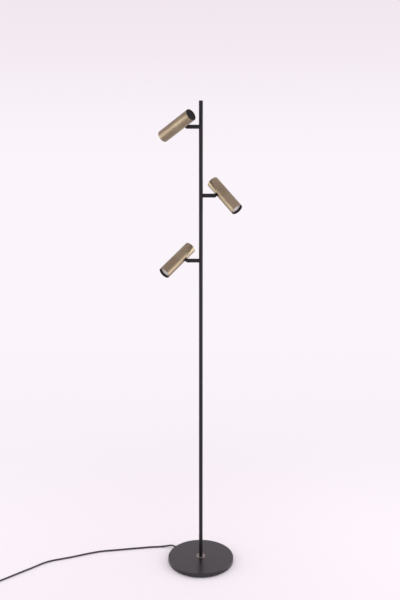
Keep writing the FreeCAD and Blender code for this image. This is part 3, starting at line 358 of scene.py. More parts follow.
@dataclass(frozen=True)
class Finish:
    """A surface finish with grain, clouding, worn edges, and a veil of dust that on the base also
    paints the lit top lighter.

    Args:
        name: Name of the material.
        colour: Main colour.
        cloud_colour: Colour of the slow clouding.
        edge_colour: Colour where edges are rubbed.
        roughness: Mean roughness.
        roughness_swing: How far clouding moves the roughness.
        metallic: 1 for bare metal.
        specular: Specular level of the clear layer.
        grain: Grain features to the metre.
        grain_height: Height of the grain's bump, in metres.
        cloud: Clouding features to the metre.
        edge_width: Width of the rubbed edge, in metres.
        edge_amount: Strength of the rubbed edge.
        dust_and_top_light: Strength of the veil on what faces up: dust, and on the base's top also
            painted light that makes the lit top lighter.
        coat: Weight of a clear coat.
        coat_roughness: Roughness of the clear coat.
        sheen: Weight of a soft sheen.
        brush_lay: Streaks to the metre along X, Y and Z, or None for no brushing.
        brush_height: Height of the streaks' bump, in metres.
        place: Frame in which the pattern lies.
    """

    name: str
    colour: str
    cloud_colour: str
    edge_colour: str
    roughness: float
    roughness_swing: float = 0.08
    metallic: float = 0.0
    specular: float = 0.5
    grain: float = 1500.0
    grain_height: float = 0.00002
    cloud: float = 18.0
    edge_width: float = 0.0006
    edge_amount: float = 0.5
    dust_and_top_light: float = 0.0
    coat: float = 0.0
    coat_roughness: float = 0.1
    sheen: float = 0.0
    brush_lay: tuple[float, float, float] | None = None
    brush_height: float = 0.000004
    place: PatternPlace = PatternPlace.LAMP
    # The same for every finish: gaps in rubbed edges and specks of the veil on up-facing faces to
    # the metre (dust, and on the base also painted top light), the veil's colour and how much it
    # dulls, and how far streaks move roughness and tone.
    edge_breaks: ClassVar[float] = 260.0
    dust_and_top_light_specks: ClassVar[float] = 90.0
    dust_and_top_light_colour: ClassVar[str] = "B9B2B4"
    dust_roughness: ClassVar[float] = 0.4
    streak_roughness: ClassVar[float] = 0.06
    streak_tone: ClassVar[float] = 0.55

    def material(self) -> bpy.types.Material:
        """Return the finish as a material, built the first time it is asked for."""
        return bpy.data.materials.get(self.name) or self.build()

    def build(self) -> bpy.types.Material:
        """Build the material from the shared groups and one Principled shader.

        Returns:
            The new material.
        """
        material = bpy.data.materials.new(self.name)
        material.use_nodes = True
        material.diffuse_color = linear(self.colour)
        bench = NodeBench(material.node_tree)
        shader = material.node_tree.nodes["Principled BSDF"]
        for socket, number in (("Metallic", self.metallic), ("Specular IOR Level", self.specular),
                               ("Coat Weight", self.coat), ("Coat Roughness", self.coat_roughness),
                               ("Sheen Weight", self.sheen)):
            shader.inputs[socket].default_value = number
        place = self.read_place(bench)
        grain = self.group(bench, surface_grain(), place, Grain=self.grain, Cloud=self.cloud)
        clouds = bench.ramp(grain.outputs["Cloud Mask"], 0.35, 0.65)
        colour = bench.blend_colours(clouds, linear(self.colour), linear(self.cloud_colour))
        rough = bench.ramp(grain.outputs["Cloud Mask"], 0.3, 0.7,
                           self.roughness - self.roughness_swing,
                           self.roughness + self.roughness_swing)
        height = bench.sum_of("MULTIPLY", grain.outputs["Grain Height"], self.grain_height)
        if self.brush_lay is not None:
            streaks = self.group(bench, brush_streaks(), place)
            streaks.inputs["Lay"].default_value = self.brush_lay
            tone = bench.ramp(streaks.outputs["Tone"], 0.3, 0.7, 0.0, self.streak_tone)
            colour = bench.blend_colours(tone, colour, linear(self.cloud_colour))
            scratch = bench.sum_of("MULTIPLY", streaks.outputs["Scratch"], self.brush_height)
            height = bench.sum_of("ADD", height, scratch)
            swing = bench.ramp(streaks.outputs["Scratch"], 0.3, 0.7,
                               -self.streak_roughness, self.streak_roughness)
            rough = bench.sum_of("ADD", rough, swing)
        if self.edge_amount > 0.0:
            edges = self.group(bench, rubbed_edges(), place, Width=self.edge_width,
                               Breaks=self.edge_breaks)
            worn = bench.sum_of("MULTIPLY", edges.outputs["Mask"], self.edge_amount)
            colour = bench.blend_colours(worn, colour, linear(self.edge_colour))
        # The veil on what faces up: dust, and on the base's top also painted light that makes the
        # lit top lighter than the side.
        if self.dust_and_top_light > 0.0:
            dust_and_top_light = self.group(bench, dust_and_lit_top(), place, Speck=self.dust_and_top_light_specks)
            dust_and_top_light_veil = bench.sum_of("MULTIPLY", dust_and_top_light.outputs["Mask"], self.dust_and_top_light)
            colour = bench.blend_colours(dust_and_top_light_veil, colour, linear(self.dust_and_top_light_colour))
            dulled = bench.sum_of("MULTIPLY", dust_and_top_light_veil, self.dust_roughness)
            rough = bench.sum_of("ADD", rough, dulled)
        bump = bench.add("ShaderNodeBump")
        bump.inputs["Strength"].default_value = 1.0
        bump.inputs["Distance"].default_value = 1.0
        bench.feed(bump.inputs["Height"], height)
        bench.feed(shader.inputs["Base Color"], colour)
        bench.feed(shader.inputs["Roughness"], rough)
        bench.feed(shader.inputs["Normal"], bump.outputs["Normal"])
        return material

    def read_place(self, bench: NodeBench) -> bpy.types.NodeSocket:
        """Return the coordinates that the pattern follows.

        Args:
            bench: Bench on the material's tree.

        Returns:
            The socket with the place of each point.
        """
        if self.place is PatternPlace.PIECE:
            own = bench.add("ShaderNodeAttribute", attribute_name=OWN_PLACE)
            return own.outputs["Vector"]
        return bench.add("ShaderNodeTexCoord").outputs["Object"]

    @staticmethod
    def group(bench: NodeBench, tree: bpy.types.NodeTree, place: bpy.types.NodeSocket,
              **numbers: float) -> bpy.types.Node:
        """Place a shared group in the material and set its numbers.

        Args:
            bench: Bench on the material's tree.
            tree: The shared group.
            place: Where each point lies.
            **numbers: Values of the group's other inputs.

        Returns:
            The group's node.
        """
        node = bench.add("ShaderNodeGroup", node_tree=tree)
        bench.feed(node.inputs["Place"], place)
        for name, number in numbers.items():
            node.inputs[name].default_value = number
        return node


POLE_COAT = Finish("satin_black_coat", "131014", "1A161B", "39353A", roughness=0.32,
                   roughness_swing=0.05, specular=0.32, grain=2200.0, grain_height=0.00001,
                   dust_and_top_light=0.02)
# Its veil on what faces up is partly dust and partly painted light: the lit top lighter than the
# darker side.
BASE_LACQUER = Finish("satin_base_lacquer", "0E0B0F", "141015", "221E22", roughness=0.29,
                      roughness_swing=0.04, specular=0.62, grain=1900.0,
                      grain_height=0.000006, cloud=9.0, edge_amount=0.12, dust_and_top_light=0.035)
BRONZE = Finish("brushed_antique_bronze", "9D9079", "8E806A", "C4B8A1", roughness=0.36,
                roughness_swing=0.03, metallic=1.0, grain=2600.0, grain_height=0.000002,
                cloud=16.0, edge_amount=0.5, brush_lay=(900.0, 900.0, 22.0),
                brush_height=0.000001, place=PatternPlace.PIECE)
COLLAR_BRONZE = Finish("brushed_collar_bronze", "938D87", "87807A", "B5AFA6", roughness=0.42,
                       roughness_swing=0.03, metallic=1.0, grain=2600.0,
                       grain_height=0.000003, cloud=16.0, edge_amount=0.3,
                       brush_lay=(900.0, 900.0, 60.0), brush_height=0.000002,
                       place=PatternPlace.PIECE)
CAP_BLACK = Finish("matt_black_moulding", "070607", "0B0A0B", "1E1C1D", roughness=0.5,
                   specular=0.22, grain=2600.0, grain_height=0.00006)
RIM_BLACK = Finish("black_anti_glare_ring", "161415", "1D1B1C", "2F2D2E", roughness=0.62,
                   grain=2400.0, grain_height=0.00005)
FROSTED = Finish("frosted_lamp_front", "D2CECA", "C6C1BC", "E6E2DE", roughness=0.5,
                 specular=0.4, grain=1200.0, grain_height=0.00003, cloud=60.0,
                 edge_amount=0.2)
LAMP_SHELL = Finish("lamp_shell", "DAD7CE", "CFCBC1", "E8E6DF", roughness=0.28, coat=0.3)
CERAMIC = Finish("steatite_holder", "E3DCCB", "D5CDBB", "EFEADD", roughness=0.62,
                 grain=900.0, grain_height=0.00008)
ZINC = Finish("zinc_plated_steel", "A7A8A6", "8F908F", "C9CAC9", roughness=0.32, metallic=1.0,
              grain=1800.0, grain_height=0.00003)
SCREW_BLACK = Finish("black_oxide_screw", "232222", "2D2B2B", "4B4A49", roughness=0.38,
                     metallic=0.6, edge_width=0.0003)
COVER_BLACK = Finish("black_pocket_cover", "262425", "302D2E", "4C494A", roughness=0.45,
                     grain=1700.0, grain_height=0.00005)
FOOT_RUBBER = Finish("foot_rubber", "201F1F", "2A2828", "3B3939", roughness=0.78,
                     grain=1400.0, grain_height=0.00010, edge_amount=0.3, sheen=0.15)
SHEATH = Finish("cord_sheath", "2B282C", "343135", "413E42", roughness=0.48,
                roughness_swing=0.05, grain=1600.0, grain_height=0.00005, cloud=30.0,
                edge_amount=0.0, dust_and_top_light=0.12)
SWITCH_SHELL = Finish("switch_moulding", "232223", "2B292B", "3E3C3E", roughness=0.52,
                      grain=1900.0, grain_height=0.00009, dust_and_top_light=0.10)
BUTTON_SHELL = Finish("button_moulding", "2D2B2D", "343234", "464446", roughness=0.36,
                      grain=2300.0, grain_height=0.00004, dust_and_top_light=0.10)
NYLON = Finish("terminal_nylon", "D5D6D0", "C8C9C2", "E4E5E0", roughness=0.4, specular=0.4)
WIRE_SLEEVE = Finish("wire_sleeve", "C7C4BD", "B9B6AF", "D6D4CE", roughness=0.45)
BRASS = Finish("turned_brass", "BFA663", "A58C4C", "DCC88C", roughness=0.25, metallic=1.0,
               grain=2400.0, grain_height=0.00001)


# ------------------------------------------------------------------ modelling bench

class Workpiece:
    """A mesh on the bench. It starts as a primitive and is shaped by hand from there."""

    def __init__(self, solid: bpy.types.Object, name: str) -> None:
        """Take hold of the primitive that was just added and name it.

        Args:
            solid: The primitive, which is still the active object.
            name: Name of the piece.
        """
        self.solid = solid
        self.solid.name = name
        self.solid.data.name = name
        self.apply_place()

    @classmethod
    def rod(cls, name: str, radius: float, low: float, length: float, sides: int = 96,
            open_ends: bool = False) -> "Workpiece":
        """Add an upright rod.

        Args:
            name: Name of the piece.
            radius: Radius of the rod.
            low: Height of its lower end.
            length: Length of the rod.
            sides: Number of sides.
            open_ends: Whether its two ends are left out.

        Returns:
            The workpiece.
        """
        to_object_mode()
        bpy.ops.mesh.primitive_cylinder_add(
            vertices=sides, radius=radius, depth=length, location=(0.0, 0.0, low + length / 2),
            end_fill_type="NOTHING" if open_ends else "NGON")
        return cls(bpy.context.object, name)

    @classmethod
    def cone(cls, name: str, low_radius: float, high_radius: float, low: float,
             length: float, sides: int = 96) -> "Workpiece":
        """Add an upright cone cut short, from its lower radius to its upper one.

        Args:
            name: Name of the piece.
            low_radius: Radius of its lower end.
            high_radius: Radius of its upper end.
            low: Height of its lower end.
            length: Length of the cone.
            sides: Number of sides.

        Returns:
            The workpiece.
        """
        to_object_mode()
        bpy.ops.mesh.primitive_cone_add(
            vertices=sides, radius1=low_radius, radius2=high_radius, depth=length,
            location=(0.0, 0.0, low + length / 2))
        return cls(bpy.context.object, name)

    @classmethod
    def block(cls, name: str, size: tuple[float, float, float],
              middle: tuple[float, float, float]) -> "Workpiece":
        """Add a block by its size and middle.

        Args:
            name: Name of the piece.
            size: Size along each axis.
            middle: Its middle.

        Returns:
            The workpiece.
        """
        to_object_mode()
        bpy.ops.mesh.primitive_cube_add(size=1.0, location=middle, scale=size)
        return cls(bpy.context.object, name)

    @classmethod
    def ball(cls, name: str, radius: float, middle: tuple[float, float, float],
             sides: int = 64) -> "Workpiece":
        """Add a ball by its radius and middle.

        Args:
            name: Name of the piece.
            radius: Radius of the ball.
            middle: Its middle.
            sides: Number of sides round the middle.

        Returns:
            The workpiece.
        """
        to_object_mode()
        bpy.ops.mesh.primitive_uv_sphere_add(segments=sides, ring_count=sides // 2,
                                             radius=radius, location=middle)
        return cls(bpy.context.object, name)

    def hold(self) -> None:
        """Select this piece alone and make it the active one."""
        to_object_mode()
        self.solid.select_set(True)
        bpy.context.view_layer.objects.active = self.solid

    def edit(self) -> None:
        """Go into edit mode with nothing selected."""
        self.hold()
        bpy.ops.object.mode_set(mode="EDIT")
        bpy.ops.mesh.select_mode(type="VERT")
        bpy.ops.mesh.select_all(action="DESELECT")

    def apply_place(self) -> None:
        """Put the object's place, turn and scale into its mesh."""
        self.hold()
        bpy.ops.object.transform_apply(location=True, rotation=True, scale=True)

    def pick_faces(self, test: FaceTest) -> "Workpiece":
        """Select the faces whose middle and normal pass a test.

        Args:
            test: Tells from a face's middle and normal whether it is wanted.

        Returns:
            This workpiece.
        """
        self.edit()
        bpy.ops.mesh.select_mode(type="FACE")
        mesh = bmesh.from_edit_mesh(self.solid.data)
        for face in mesh.faces:
            face.select_set(test(face.calc_center_median(), face.normal))
        bmesh.update_edit_mesh(self.solid.data)
        return self

    def pick_top(self) -> "Workpiece":
        """Select every face that looks up."""
        return self.pick_faces(lambda middle, normal: normal.z > LEVEL)

    def pick_bottom(self) -> "Workpiece":
        """Select every face that looks down."""
        return self.pick_faces(lambda middle, normal: normal.z < -LEVEL)

    def pick_edges(self, test: EdgeTest) -> "Workpiece":
        """Select the edges whose two end points pass a test.

        Args:
            test: Tells from an edge's two ends whether it is wanted.

        Returns:
            This workpiece.
        """
        self.edit()
        bpy.ops.mesh.select_mode(type="EDGE")
        mesh = bmesh.from_edit_mesh(self.solid.data)
        for edge in mesh.edges:
            edge.select_set(test(edge.verts[0].co, edge.verts[1].co))
        bmesh.update_edit_mesh(self.solid.data)
        return self

    def bevel(self, width: float, steps: int = 3) -> "Workpiece":
        """Round the selected edges.

        Args:
            width: Width of the rounding.
            steps: Number of steps across it.

        Returns:
            This workpiece.
        """
        bpy.ops.mesh.bevel(offset=width, segments=steps, profile=0.5, affect="EDGES",
                           clamp_overlap=True)
        to_object_mode()
        return self

    def round_rims(self, heights: list[float], width: float, steps: int = 3,
                   radius: float | None = None) -> "Workpiece":
        """Round the ring edges at some heights, all of them or those of one radius.

        Args:
            heights: Heights of the rims.
            width: Width of the rounding.
            steps: Number of steps across it.
            radius: Radius of the rims, or None for every ring edge.

        Returns:
            This workpiece.
        """
        def on_rim(one: Vector, other: Vector) -> bool:
            """Tell whether an edge lies on one of the rims.

            Args:
                one: First end of the edge.
                other: Second end of the edge.

            Returns:
                Whether it does.
            """
            level = abs(one.z - other.z) < CLOSE
            at_height = any(abs(one.z - height) < CLOSE for height in heights)
            at_radius = radius is None or all(
                abs(end.xy.length - radius) < 2 * SLIVER for end in (one, other))
            return level and at_height and at_radius

        return self.pick_edges(on_rim).bevel(width, steps)

    def inset(self, width: float) -> "Workpiece":
        """Inset the selected faces, and keep the inner faces selected."""
        bpy.ops.mesh.inset(thickness=width, depth=0.0, use_boundary=True)
        return self

    def draw_out(self, rise: float, grow: float = 1.0) -> "Workpiece":
        """Extrude the selected faces up or down, then widen or narrow their end.

        Args:
            rise: How far the faces move up.
            grow: Factor on the size of the moved faces, about their own middle.

        Returns:
            This workpiece.
        """
        bpy.ops.mesh.extrude_region_move(TRANSFORM_OT_translate={"value": (0.0, 0.0, rise)})
        if grow != 1.0:
            mesh = bmesh.from_edit_mesh(self.solid.data)
            picked = [vertex.co for vertex in mesh.verts if vertex.select]
            middle = sum(picked, Vector()) / len(picked)
            bpy.ops.transform.resize(value=(grow, grow, grow), center_override=middle)
        return self

    def slide(self, rise: float = 0.0, along: float = 0.0) -> "Workpiece":
        """Move what is selected up, and along X."""
        bpy.ops.transform.translate(value=(along, 0.0, rise))
        return self

    def dish(self, *steps: tuple[float, float]) -> "Workpiece":
        """Sink or raise the selected faces in rings.

        Args:
            *steps: Width of each ring and how far what lies inside it moves up.

        Returns:
            This workpiece.
        """
        for width, rise in steps:
            self.inset(width).slide(rise)
        return self

    def shape_with(self, kind: str, **settings: Any) -> "Workpiece":
        """Add a modifier, set it and apply it.

        Args:
            kind: Blender's name of the modifier type.
            **settings: Properties of the modifier by name.

        Returns:
            This workpiece.
        """
        self.hold()
        modifier = self.solid.modifiers.new(kind.lower(), kind)
        for name, value in settings.items():
            setattr(modifier, name, value)
        bpy.ops.object.modifier_apply(modifier=modifier.name)
        return self

    def wall(self, thickness: float) -> "Workpiece":
        """Give an open skin a wall that grows inwards."""
        return self.shape_with("SOLIDIFY", thickness=thickness, offset=-1.0,
                               use_even_offset=True, use_rim=True)

    def cut(self, *tools: "Workpiece") -> "Workpiece":
        """Take other workpieces away from this one and use them up.

        Args:
            *tools: What is taken away.

        Returns:
            This workpiece.
        """
        for tool in tools:
            self.shape_with("BOOLEAN", operation="DIFFERENCE", object=tool.solid,
                            solver="EXACT")
            tool.scrap()
        return self

    def weld(self, *others: "Workpiece") -> "Workpiece":
        """Unite other workpieces with this one and use them up.

        Args:
            *others: What is united with it.

        Returns:
            This workpiece.
        """
        for other in others:
            self.shape_with("BOOLEAN", operation="UNION", object=other.solid, solver="EXACT")
            other.scrap()
        return self

    def gather(self, *others: "Workpiece") -> "Workpiece":
        """Join loose shells that stay separate into this object.

        Args:
            *others: What is joined to it.

        Returns:
            This workpiece.
        """
        self.hold()
        for other in others:
            other.solid.select_set(True)
        bpy.ops.object.join()
        return self

    def break_edges(self, width: float, steps: int = 2, angle: float = 35.0) -> "Workpiece":
        """Round every edge that is sharper than an angle.

        Args:
            width: Width of the rounding.
            steps: Number of steps across it.
            angle: Least angle of an edge that is rounded, in degrees.

        Returns:
            This workpiece.
        """
        return self.shape_with("BEVEL", width=width, segments=steps, limit_method="ANGLE",
                               angle_limit=math.radians(angle), harden_normals=False)

    def polish(self, angle: float = 40.0) -> "Workpiece":
        """Shade smooth up to an angle, and keep flat faces flat beside rounded edges.

        Args:
            angle: Least angle that stays a sharp edge, in degrees.

        Returns:
            This workpiece.
        """
        self.hold()
        bpy.ops.object.shade_smooth_by_angle(angle=math.radians(angle))
        return self.shape_with("WEIGHTED_NORMAL", keep_sharp=True, weight=60)

    def mark_own_place(self) -> "Workpiece":
        """Store where each point lies on the piece itself, for patterns that follow it.

        Returns:
            This workpiece.
        """
        to_object_mode()
        own = self.solid.data.attributes.new(OWN_PLACE, "FLOAT_VECTOR", "POINT")
        for vertex, entry in zip(self.solid.data.vertices, own.data):
            entry.vector = vertex.co
        return self

    def place(self, matrix: Matrix) -> "Workpiece":
        """Move the mesh itself to its place in the lamp.

        Args:
            matrix: Where the mesh goes.

        Returns:
            This workpiece.
        """
        to_object_mode()
        self.solid.data.transform(matrix)
        self.solid.data.update()
        return self

    def copy(self, name: str) -> "Workpiece":
        """Return a copy with a mesh of its own."""
        to_object_mode()
        return Workpiece(add_to_scene(name, self.solid.data.copy()), name)

    def scrap(self) -> None:
        """Remove a used-up piece and its mesh."""
        mesh = self.solid.data
        bpy.data.objects.remove(self.solid)
        bpy.data.meshes.remove(mesh)

    def fit(self, body: str, finish: Finish, slot: str, *nodes: str) -> bpy.types.Object:
        """Dress the finished piece and hang it on its body.

        Args:
            body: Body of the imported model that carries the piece.
            finish: Finish of its surface.
            slot: Material slot of the record.
            *nodes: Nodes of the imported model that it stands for.

        Returns:
            The finished object.
        """
        to_object_mode()
        self.solid.data.materials.clear()
        self.solid.data.materials.append(finish.material())
        return hang(self.solid, body, slot, *nodes)


def to_object_mode() -> None:
    """Leave edit mode and deselect everything."""
    if bpy.context.object is not None and bpy.context.object.mode != "OBJECT":
        bpy.ops.object.mode_set(mode="OBJECT")
    bpy.ops.object.select_all(action="DESELECT")


def hang(piece: bpy.types.Object, body: str, slot: str, *nodes: str) -> bpy.types.Object:
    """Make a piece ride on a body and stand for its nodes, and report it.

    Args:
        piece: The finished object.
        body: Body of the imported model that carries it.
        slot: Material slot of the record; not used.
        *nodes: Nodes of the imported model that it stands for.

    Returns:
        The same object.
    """
    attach(piece, body)
    if nodes:
        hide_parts(*nodes)
    LOG.info("%s rides on %s and stands for %s", piece.name, body, ", ".join(nodes) or "itself")
    return piece


def dress(finish: Finish, *nodes: str) -> None:
    """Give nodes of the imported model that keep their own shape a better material.

    Args:
        finish: Finish of their surface.
        *nodes: The nodes.
    """
    for node in nodes:
        solid = frame["nodes"][node]
        if solid.material_slots:
            solid.material_slots[0].material = finish.material()
        else:
            solid.data.materials.append(finish.material())
        LOG.info("%s keeps its shape and takes %s", node, finish.name)


# ------------------------------------------------------------------ view and light

@dataclass
class PhotoCamera:
    """The camera of the photograph: level with the upper arm, tipped down ten degrees."""

    spot: tuple[float, float, float] = (0.0, -2.31349, 1.34690)
    tip: float = 10.0
    pan: float = 0.0702
    focal_pixels: float = 706.853
    picture_height: float = 600.0
    film: float = 36.0
    nearest: float = 0.05
    farthest: float = 60.0

    def build(self) -> None:
        """Add the camera and make it the scene's own."""
        data = bpy.data.cameras.new("photo_camera")
        data.sensor_fit = "VERTICAL"
        data.sensor_height = self.film
        data.sensor_width = self.film
        data.lens = self.focal_pixels * self.film / self.picture_height
        data.clip_start = self.nearest
        data.clip_end = self.farthest
        camera = add_to_scene("photo_camera", data)
        camera.location = self.spot
        camera.rotation_euler = (math.radians(90.0 - self.tip), 0.0, math.radians(self.pan))
        bpy.context.scene.camera = camera
        LOG.info("camera stands at %s", self.spot)


@dataclass
class SoftBox:
    """One soft lamp of the studio, aimed at a point."""

    name: str
    spot: tuple[float, float, float]
    aim: tuple[float, float, float]
    size: tuple[float, float]
    power: float
    tint: tuple[float, float, float] = (1.0, 0.985, 0.99)

    def build(self) -> None:
        """Add the lamp."""
        data = bpy.data.lights.new(self.name, "AREA")
        data.shape = "RECTANGLE"
        data.size, data.size_y = self.size
        data.energy = self.power
        data.color = self.tint
        lamp = add_to_scene(self.name, data)
        lamp.location = self.spot
        gaze = Vector(self.aim) - Vector(self.spot)
        lamp.rotation_euler = gaze.to_track_quat("-Z", "Y").to_euler()


@dataclass
class Studio:
    """Pale floor, pale surroundings and large soft lamps."""

    seen_colour: str = "FBF5FB"
    seen_above: str = "F1E6EE"
    seen_near: str = "F8F0F7"
    floor_colour: str = "EFE9EE"
    ambient: str = "F4F0F3"
    ambient_strength: float = 1.02
    floor_size: float = 40.0
    floor_roughness: float = 0.85
    floor_fade: tuple[float, float] = (-0.6, 4.0)
    sky_fade: tuple[float, float] = (0.0, 0.26)
    shadow_reach: tuple[float, float] = (0.12, 1.6)
    seen_share: tuple[float, float] = (0.05, 1.0)
    lamps: list[SoftBox] = field(default_factory=lambda: [
        SoftBox("left_box", (-2.10, 0.05, 0.72), (0.0, 0.0, 1.2), (1.8, 1.6), 19.0),
        SoftBox("right_box", (2.15, 0.10, 0.85), (0.0, 0.0, 1.1), (1.8, 1.6), 25.0),
    ])

    def build(self) -> None:
        """Add the floor, the surroundings and the lamps."""
        self.build_floor()
        self.build_surroundings()
        for lamp in self.lamps:
            lamp.build()
        bpy.context.scene.view_settings.view_transform = "Standard"
        LOG.info("studio has %d soft lamps", len(self.lamps))

    def seen_rays(self, bench: NodeBench) -> bpy.types.NodeSocket:
        """Return 1 for rays that look at the surroundings, directly or in gloss.

        Args:
            bench: Bench on the floor's or the world's tree.

        Returns:
            The socket with the value.
        """
        path = bench.add("ShaderNodeLightPath")
        direct = bench.sum_of("MAXIMUM", path.outputs["Is Camera Ray"],
                              path.outputs["Is Glossy Ray"])
        return bench.sum_of("MAXIMUM", direct, path.outputs["Is Transmission Ray"])

    def build_floor(self) -> None:
        """Add the floor, which glows faintly towards the camera and keeps shadows."""
        to_object_mode()
        bpy.ops.mesh.primitive_plane_add(size=self.floor_size, location=(0.0, 0.0, 0.0))
        floor = bpy.context.object
        floor.name = "studio_floor"
        material = bpy.data.materials.new("pale_floor")
        material.use_nodes = True
        bench = NodeBench(material.node_tree)
        shader = material.node_tree.nodes["Principled BSDF"]
        shader.inputs["Base Color"].default_value = linear(self.floor_colour)
        shader.inputs["Roughness"].default_value = self.floor_roughness
        glow = bench.add("ShaderNodeEmission")
        lie = bench.add("ShaderNodeSeparateXYZ")
        place = bench.add("ShaderNodeTexCoord").outputs["Object"]
        bench.feed(lie.inputs[0], place)
        away = bench.ramp(lie.outputs["Y"], *self.floor_fade)
        tone = bench.blend_colours(away, linear(self.seen_near), linear(self.seen_colour))
        bench.feed(glow.inputs["Color"], tone)
        reach = bench.add("ShaderNodeVectorMath", operation="LENGTH")
        bench.feed(reach.inputs[0], place)
        clear = bench.ramp(reach.outputs["Value"], *self.shadow_reach, *self.seen_share)
        share = bench.sum_of("MULTIPLY", self.seen_rays(bench), clear)
        bench.feed(material.node_tree.nodes["Material Output"].inputs["Surface"],
                   bench.blend_shaders(share, shader, glow))
        floor.data.materials.append(material)

    def build_surroundings(self) -> None:
        """Fill the world with soft light, and with the backdrop's colour where seen."""
        world = bpy.data.worlds.new("pale_surroundings")
        world.use_nodes = True
        bench = NodeBench(world.node_tree)
        world.node_tree.nodes.clear()
        light = bench.add("ShaderNodeBackground")
        light.inputs["Color"].default_value = linear(self.ambient)
        light.inputs["Strength"].default_value = self.ambient_strength
        seen = bench.add("ShaderNodeBackground")
        look = bench.add("ShaderNodeSeparateXYZ")
        bench.feed(look.inputs[0], bench.add("ShaderNodeTexCoord").outputs["Generated"])
        rise = bench.ramp(look.outputs["Z"], *self.sky_fade)
        tone = bench.blend_colours(rise, linear(self.seen_colour), linear(self.seen_above))
        bench.feed(seen.inputs["Color"], tone)
        bench.feed(bench.add("ShaderNodeOutputWorld").inputs["Surface"],
                   bench.blend_shaders(self.seen_rays(bench), light, seen))
        bpy.context.scene.world = world


# ------------------------------------------------------------------ cord

@dataclass
class FloorCord:
    """The cord: out of the base's rim, over the floor to the foot switch, then coiled.

    Sizes and points are those of the part's own source, in metres.
    """

    diameter: float = 6 * MM
    rest: float = 3.05 * MM
    exit_turn: float = 140.0
    exit_reach: float = 125.0 * MM
    exit_height: float = 8.5 * MM
    route: list[tuple[float, float, float]] = field(default_factory=lambda: [
        (-0.00613, 0.00514, 0.00545),
        (-0.0141, 0.00852, 0.0046),
        (-0.0234, 0.0095, 0.003),
        (-0.037, 0.00905, 0.00095),
        (-0.0522, 0.0076, 0.0),
        (-0.0642, 0.00625, 0.0),
        (-0.08645, 0.00466, 0.0),
        (-0.11226, 0.00011, 0.0),
        (-0.14926, -0.00549, 0.0),
        (-0.18826, -0.01249, 0.0),
        (-0.22626, -0.01899, 0.0),
        (-0.26126, -0.02409, 0.0),
        (-0.29426, -0.03459, 0.0),
        (-0.32826, -0.04889, 0.0),
        (-0.36426, -0.06479, 0.0),
        (-0.40026, -0.07779, 0.0),
        (-0.43326, -0.08919, 0.0),
        (-0.46026, -0.10639, 0.0),
        (-0.48726, -0.13299, 0.0),
        (-0.52026, -0.16159, 0.0),
        (-0.55426, -0.19259, 0.0),
        (-0.58626, -0.22099, 0.0),
        (-0.61226, -0.23939, 0.00195),
        (-0.63673, -0.2508, 0.00195),
    ])
    parked_turn: float = 205.0
    switch_through: float = 90 * MM
    switch_cord_height: float = 5 * MM
    coil_middle: float = 34 * MM
    coil_step: float = 6.6 * MM
    coil_turns: float = 5.5
    lead: float = 24 * MM
    plug_height: float = 6.85 * MM
    points_per_turn: int = 16

    @property
    def exit(self) -> Vector:
        """Point where the cord leaves its strain relief."""
        angle = math.radians(self.exit_turn)
        return Vector((self.exit_reach * math.cos(angle), self.exit_reach * math.sin(angle),
                       self.exit_height))

    @property
    def run_points(self) -> list[Vector]:
        """Points of the stretch from the base to the foot switch."""
        floor = Vector((self.exit.x, self.exit.y, self.rest))
        return [self.exit] + [floor + Vector(step) for step in self.route]

    @property
    def parked(self) -> Matrix:
        """Frame of the foot switch, coil and plug, from the end of the floor route."""
        end = self.run_points[-1]
        return shifted(end.x, end.y) @ turned_about(UP, self.parked_turn)

    @property
    def coil_start(self) -> float:
        """Distance of the coil's first turn from the start of the parked frame."""
        return self.switch_through + self.diameter + self.lead

    @property
    def coil_outer(self) -> float:
        """Radius of the coil's outermost turn."""
        return self.coil_middle + self.coil_step * self.coil_turns / 4

    @property
    def plug_entry(self) -> Vector:
        """Where the coil's outer end meets the plug, in the parked frame."""
        return Vector((self.coil_start - self.lead - self.diameter, 2 * self.coil_outer,
                       self.plug_height))

    def coil_point(self, turns: float) -> Vector:
        """Return the coil's centreline after some turns, in the parked frame.

        The turns spiral inwards on the floor, climb a layer where the spiral reverses,
        and spiral outwards again on top.

        Args:
            turns: Turns from the start of the coil.

        Returns:
            The point on the centreline.
        """
        middle = self.coil_turns / 2
        radius = self.coil_outer - self.coil_step * min(turns, self.coil_turns - turns)
        rise = min(max((turns - middle) / 0.5 + 0.5, 0.0), 1.0)
        height = self.rest + self.coil_step * rise * rise * (3.0 - 2.0 * rise)
        angle = 2 * math.pi * turns - math.pi / 2
        return Vector((self.coil_start + radius * math.cos(angle),
                       self.coil_outer + radius * math.sin(angle), height))

    @property
    def coil_points(self) -> list[Vector]:
        """Points of the coiled stretch from the foot switch to the plug."""
        entry = Vector((self.switch_through, 0.0, self.switch_cord_height))
        along = RIGHTWARD * self.diameter
        count = int(self.coil_turns * self.points_per_turn)
        turns = [self.coil_point(index / self.points_per_turn) for index in range(count + 1)]
        ends = [self.plug_entry + along, self.plug_entry]
        return [self.parked @ point for point in [entry, entry + along] + turns + ends]

    def lay(self, name: str, points: list[Vector]) -> bpy.types.Object:
        """Lay one stretch of round cord along its points.

        Args:
            name: Name of the piece.
            points: Control points of its line.

        Returns:
            The curve with its round section.
        """
        data = bpy.data.curves.new(name, "CURVE")
        data.dimensions = "3D"
        data.resolution_u = 12
        data.bevel_depth = self.diameter / 2
        data.bevel_resolution = 6
        data.use_fill_caps = True
        spline = data.splines.new("NURBS")
        spline.points.add(len(points) - 1)
        for control, point in zip(spline.points, points):
            control.co = (*point, 1.0)
        spline.order_u = 3
        spline.use_endpoint_u = True
        data.materials.append(SHEATH.material())
        return add_to_scene(name, data)

    def build(self) -> tuple[bpy.types.Object, bpy.types.Object]:
        """Lay both stretches and hang them on the stand.

        Returns:
            The stretch to the foot switch and the coiled one.
        """
        run = hang(self.lay("floor_cord", self.run_points), "stand", "cord_grey", "cord_run")
        coil = hang(self.lay("coiled_cord", self.coil_points), "stand", "cord_grey", "cord_coil")
        return run, coil


# ------------------------------------------------------------------ base and pole

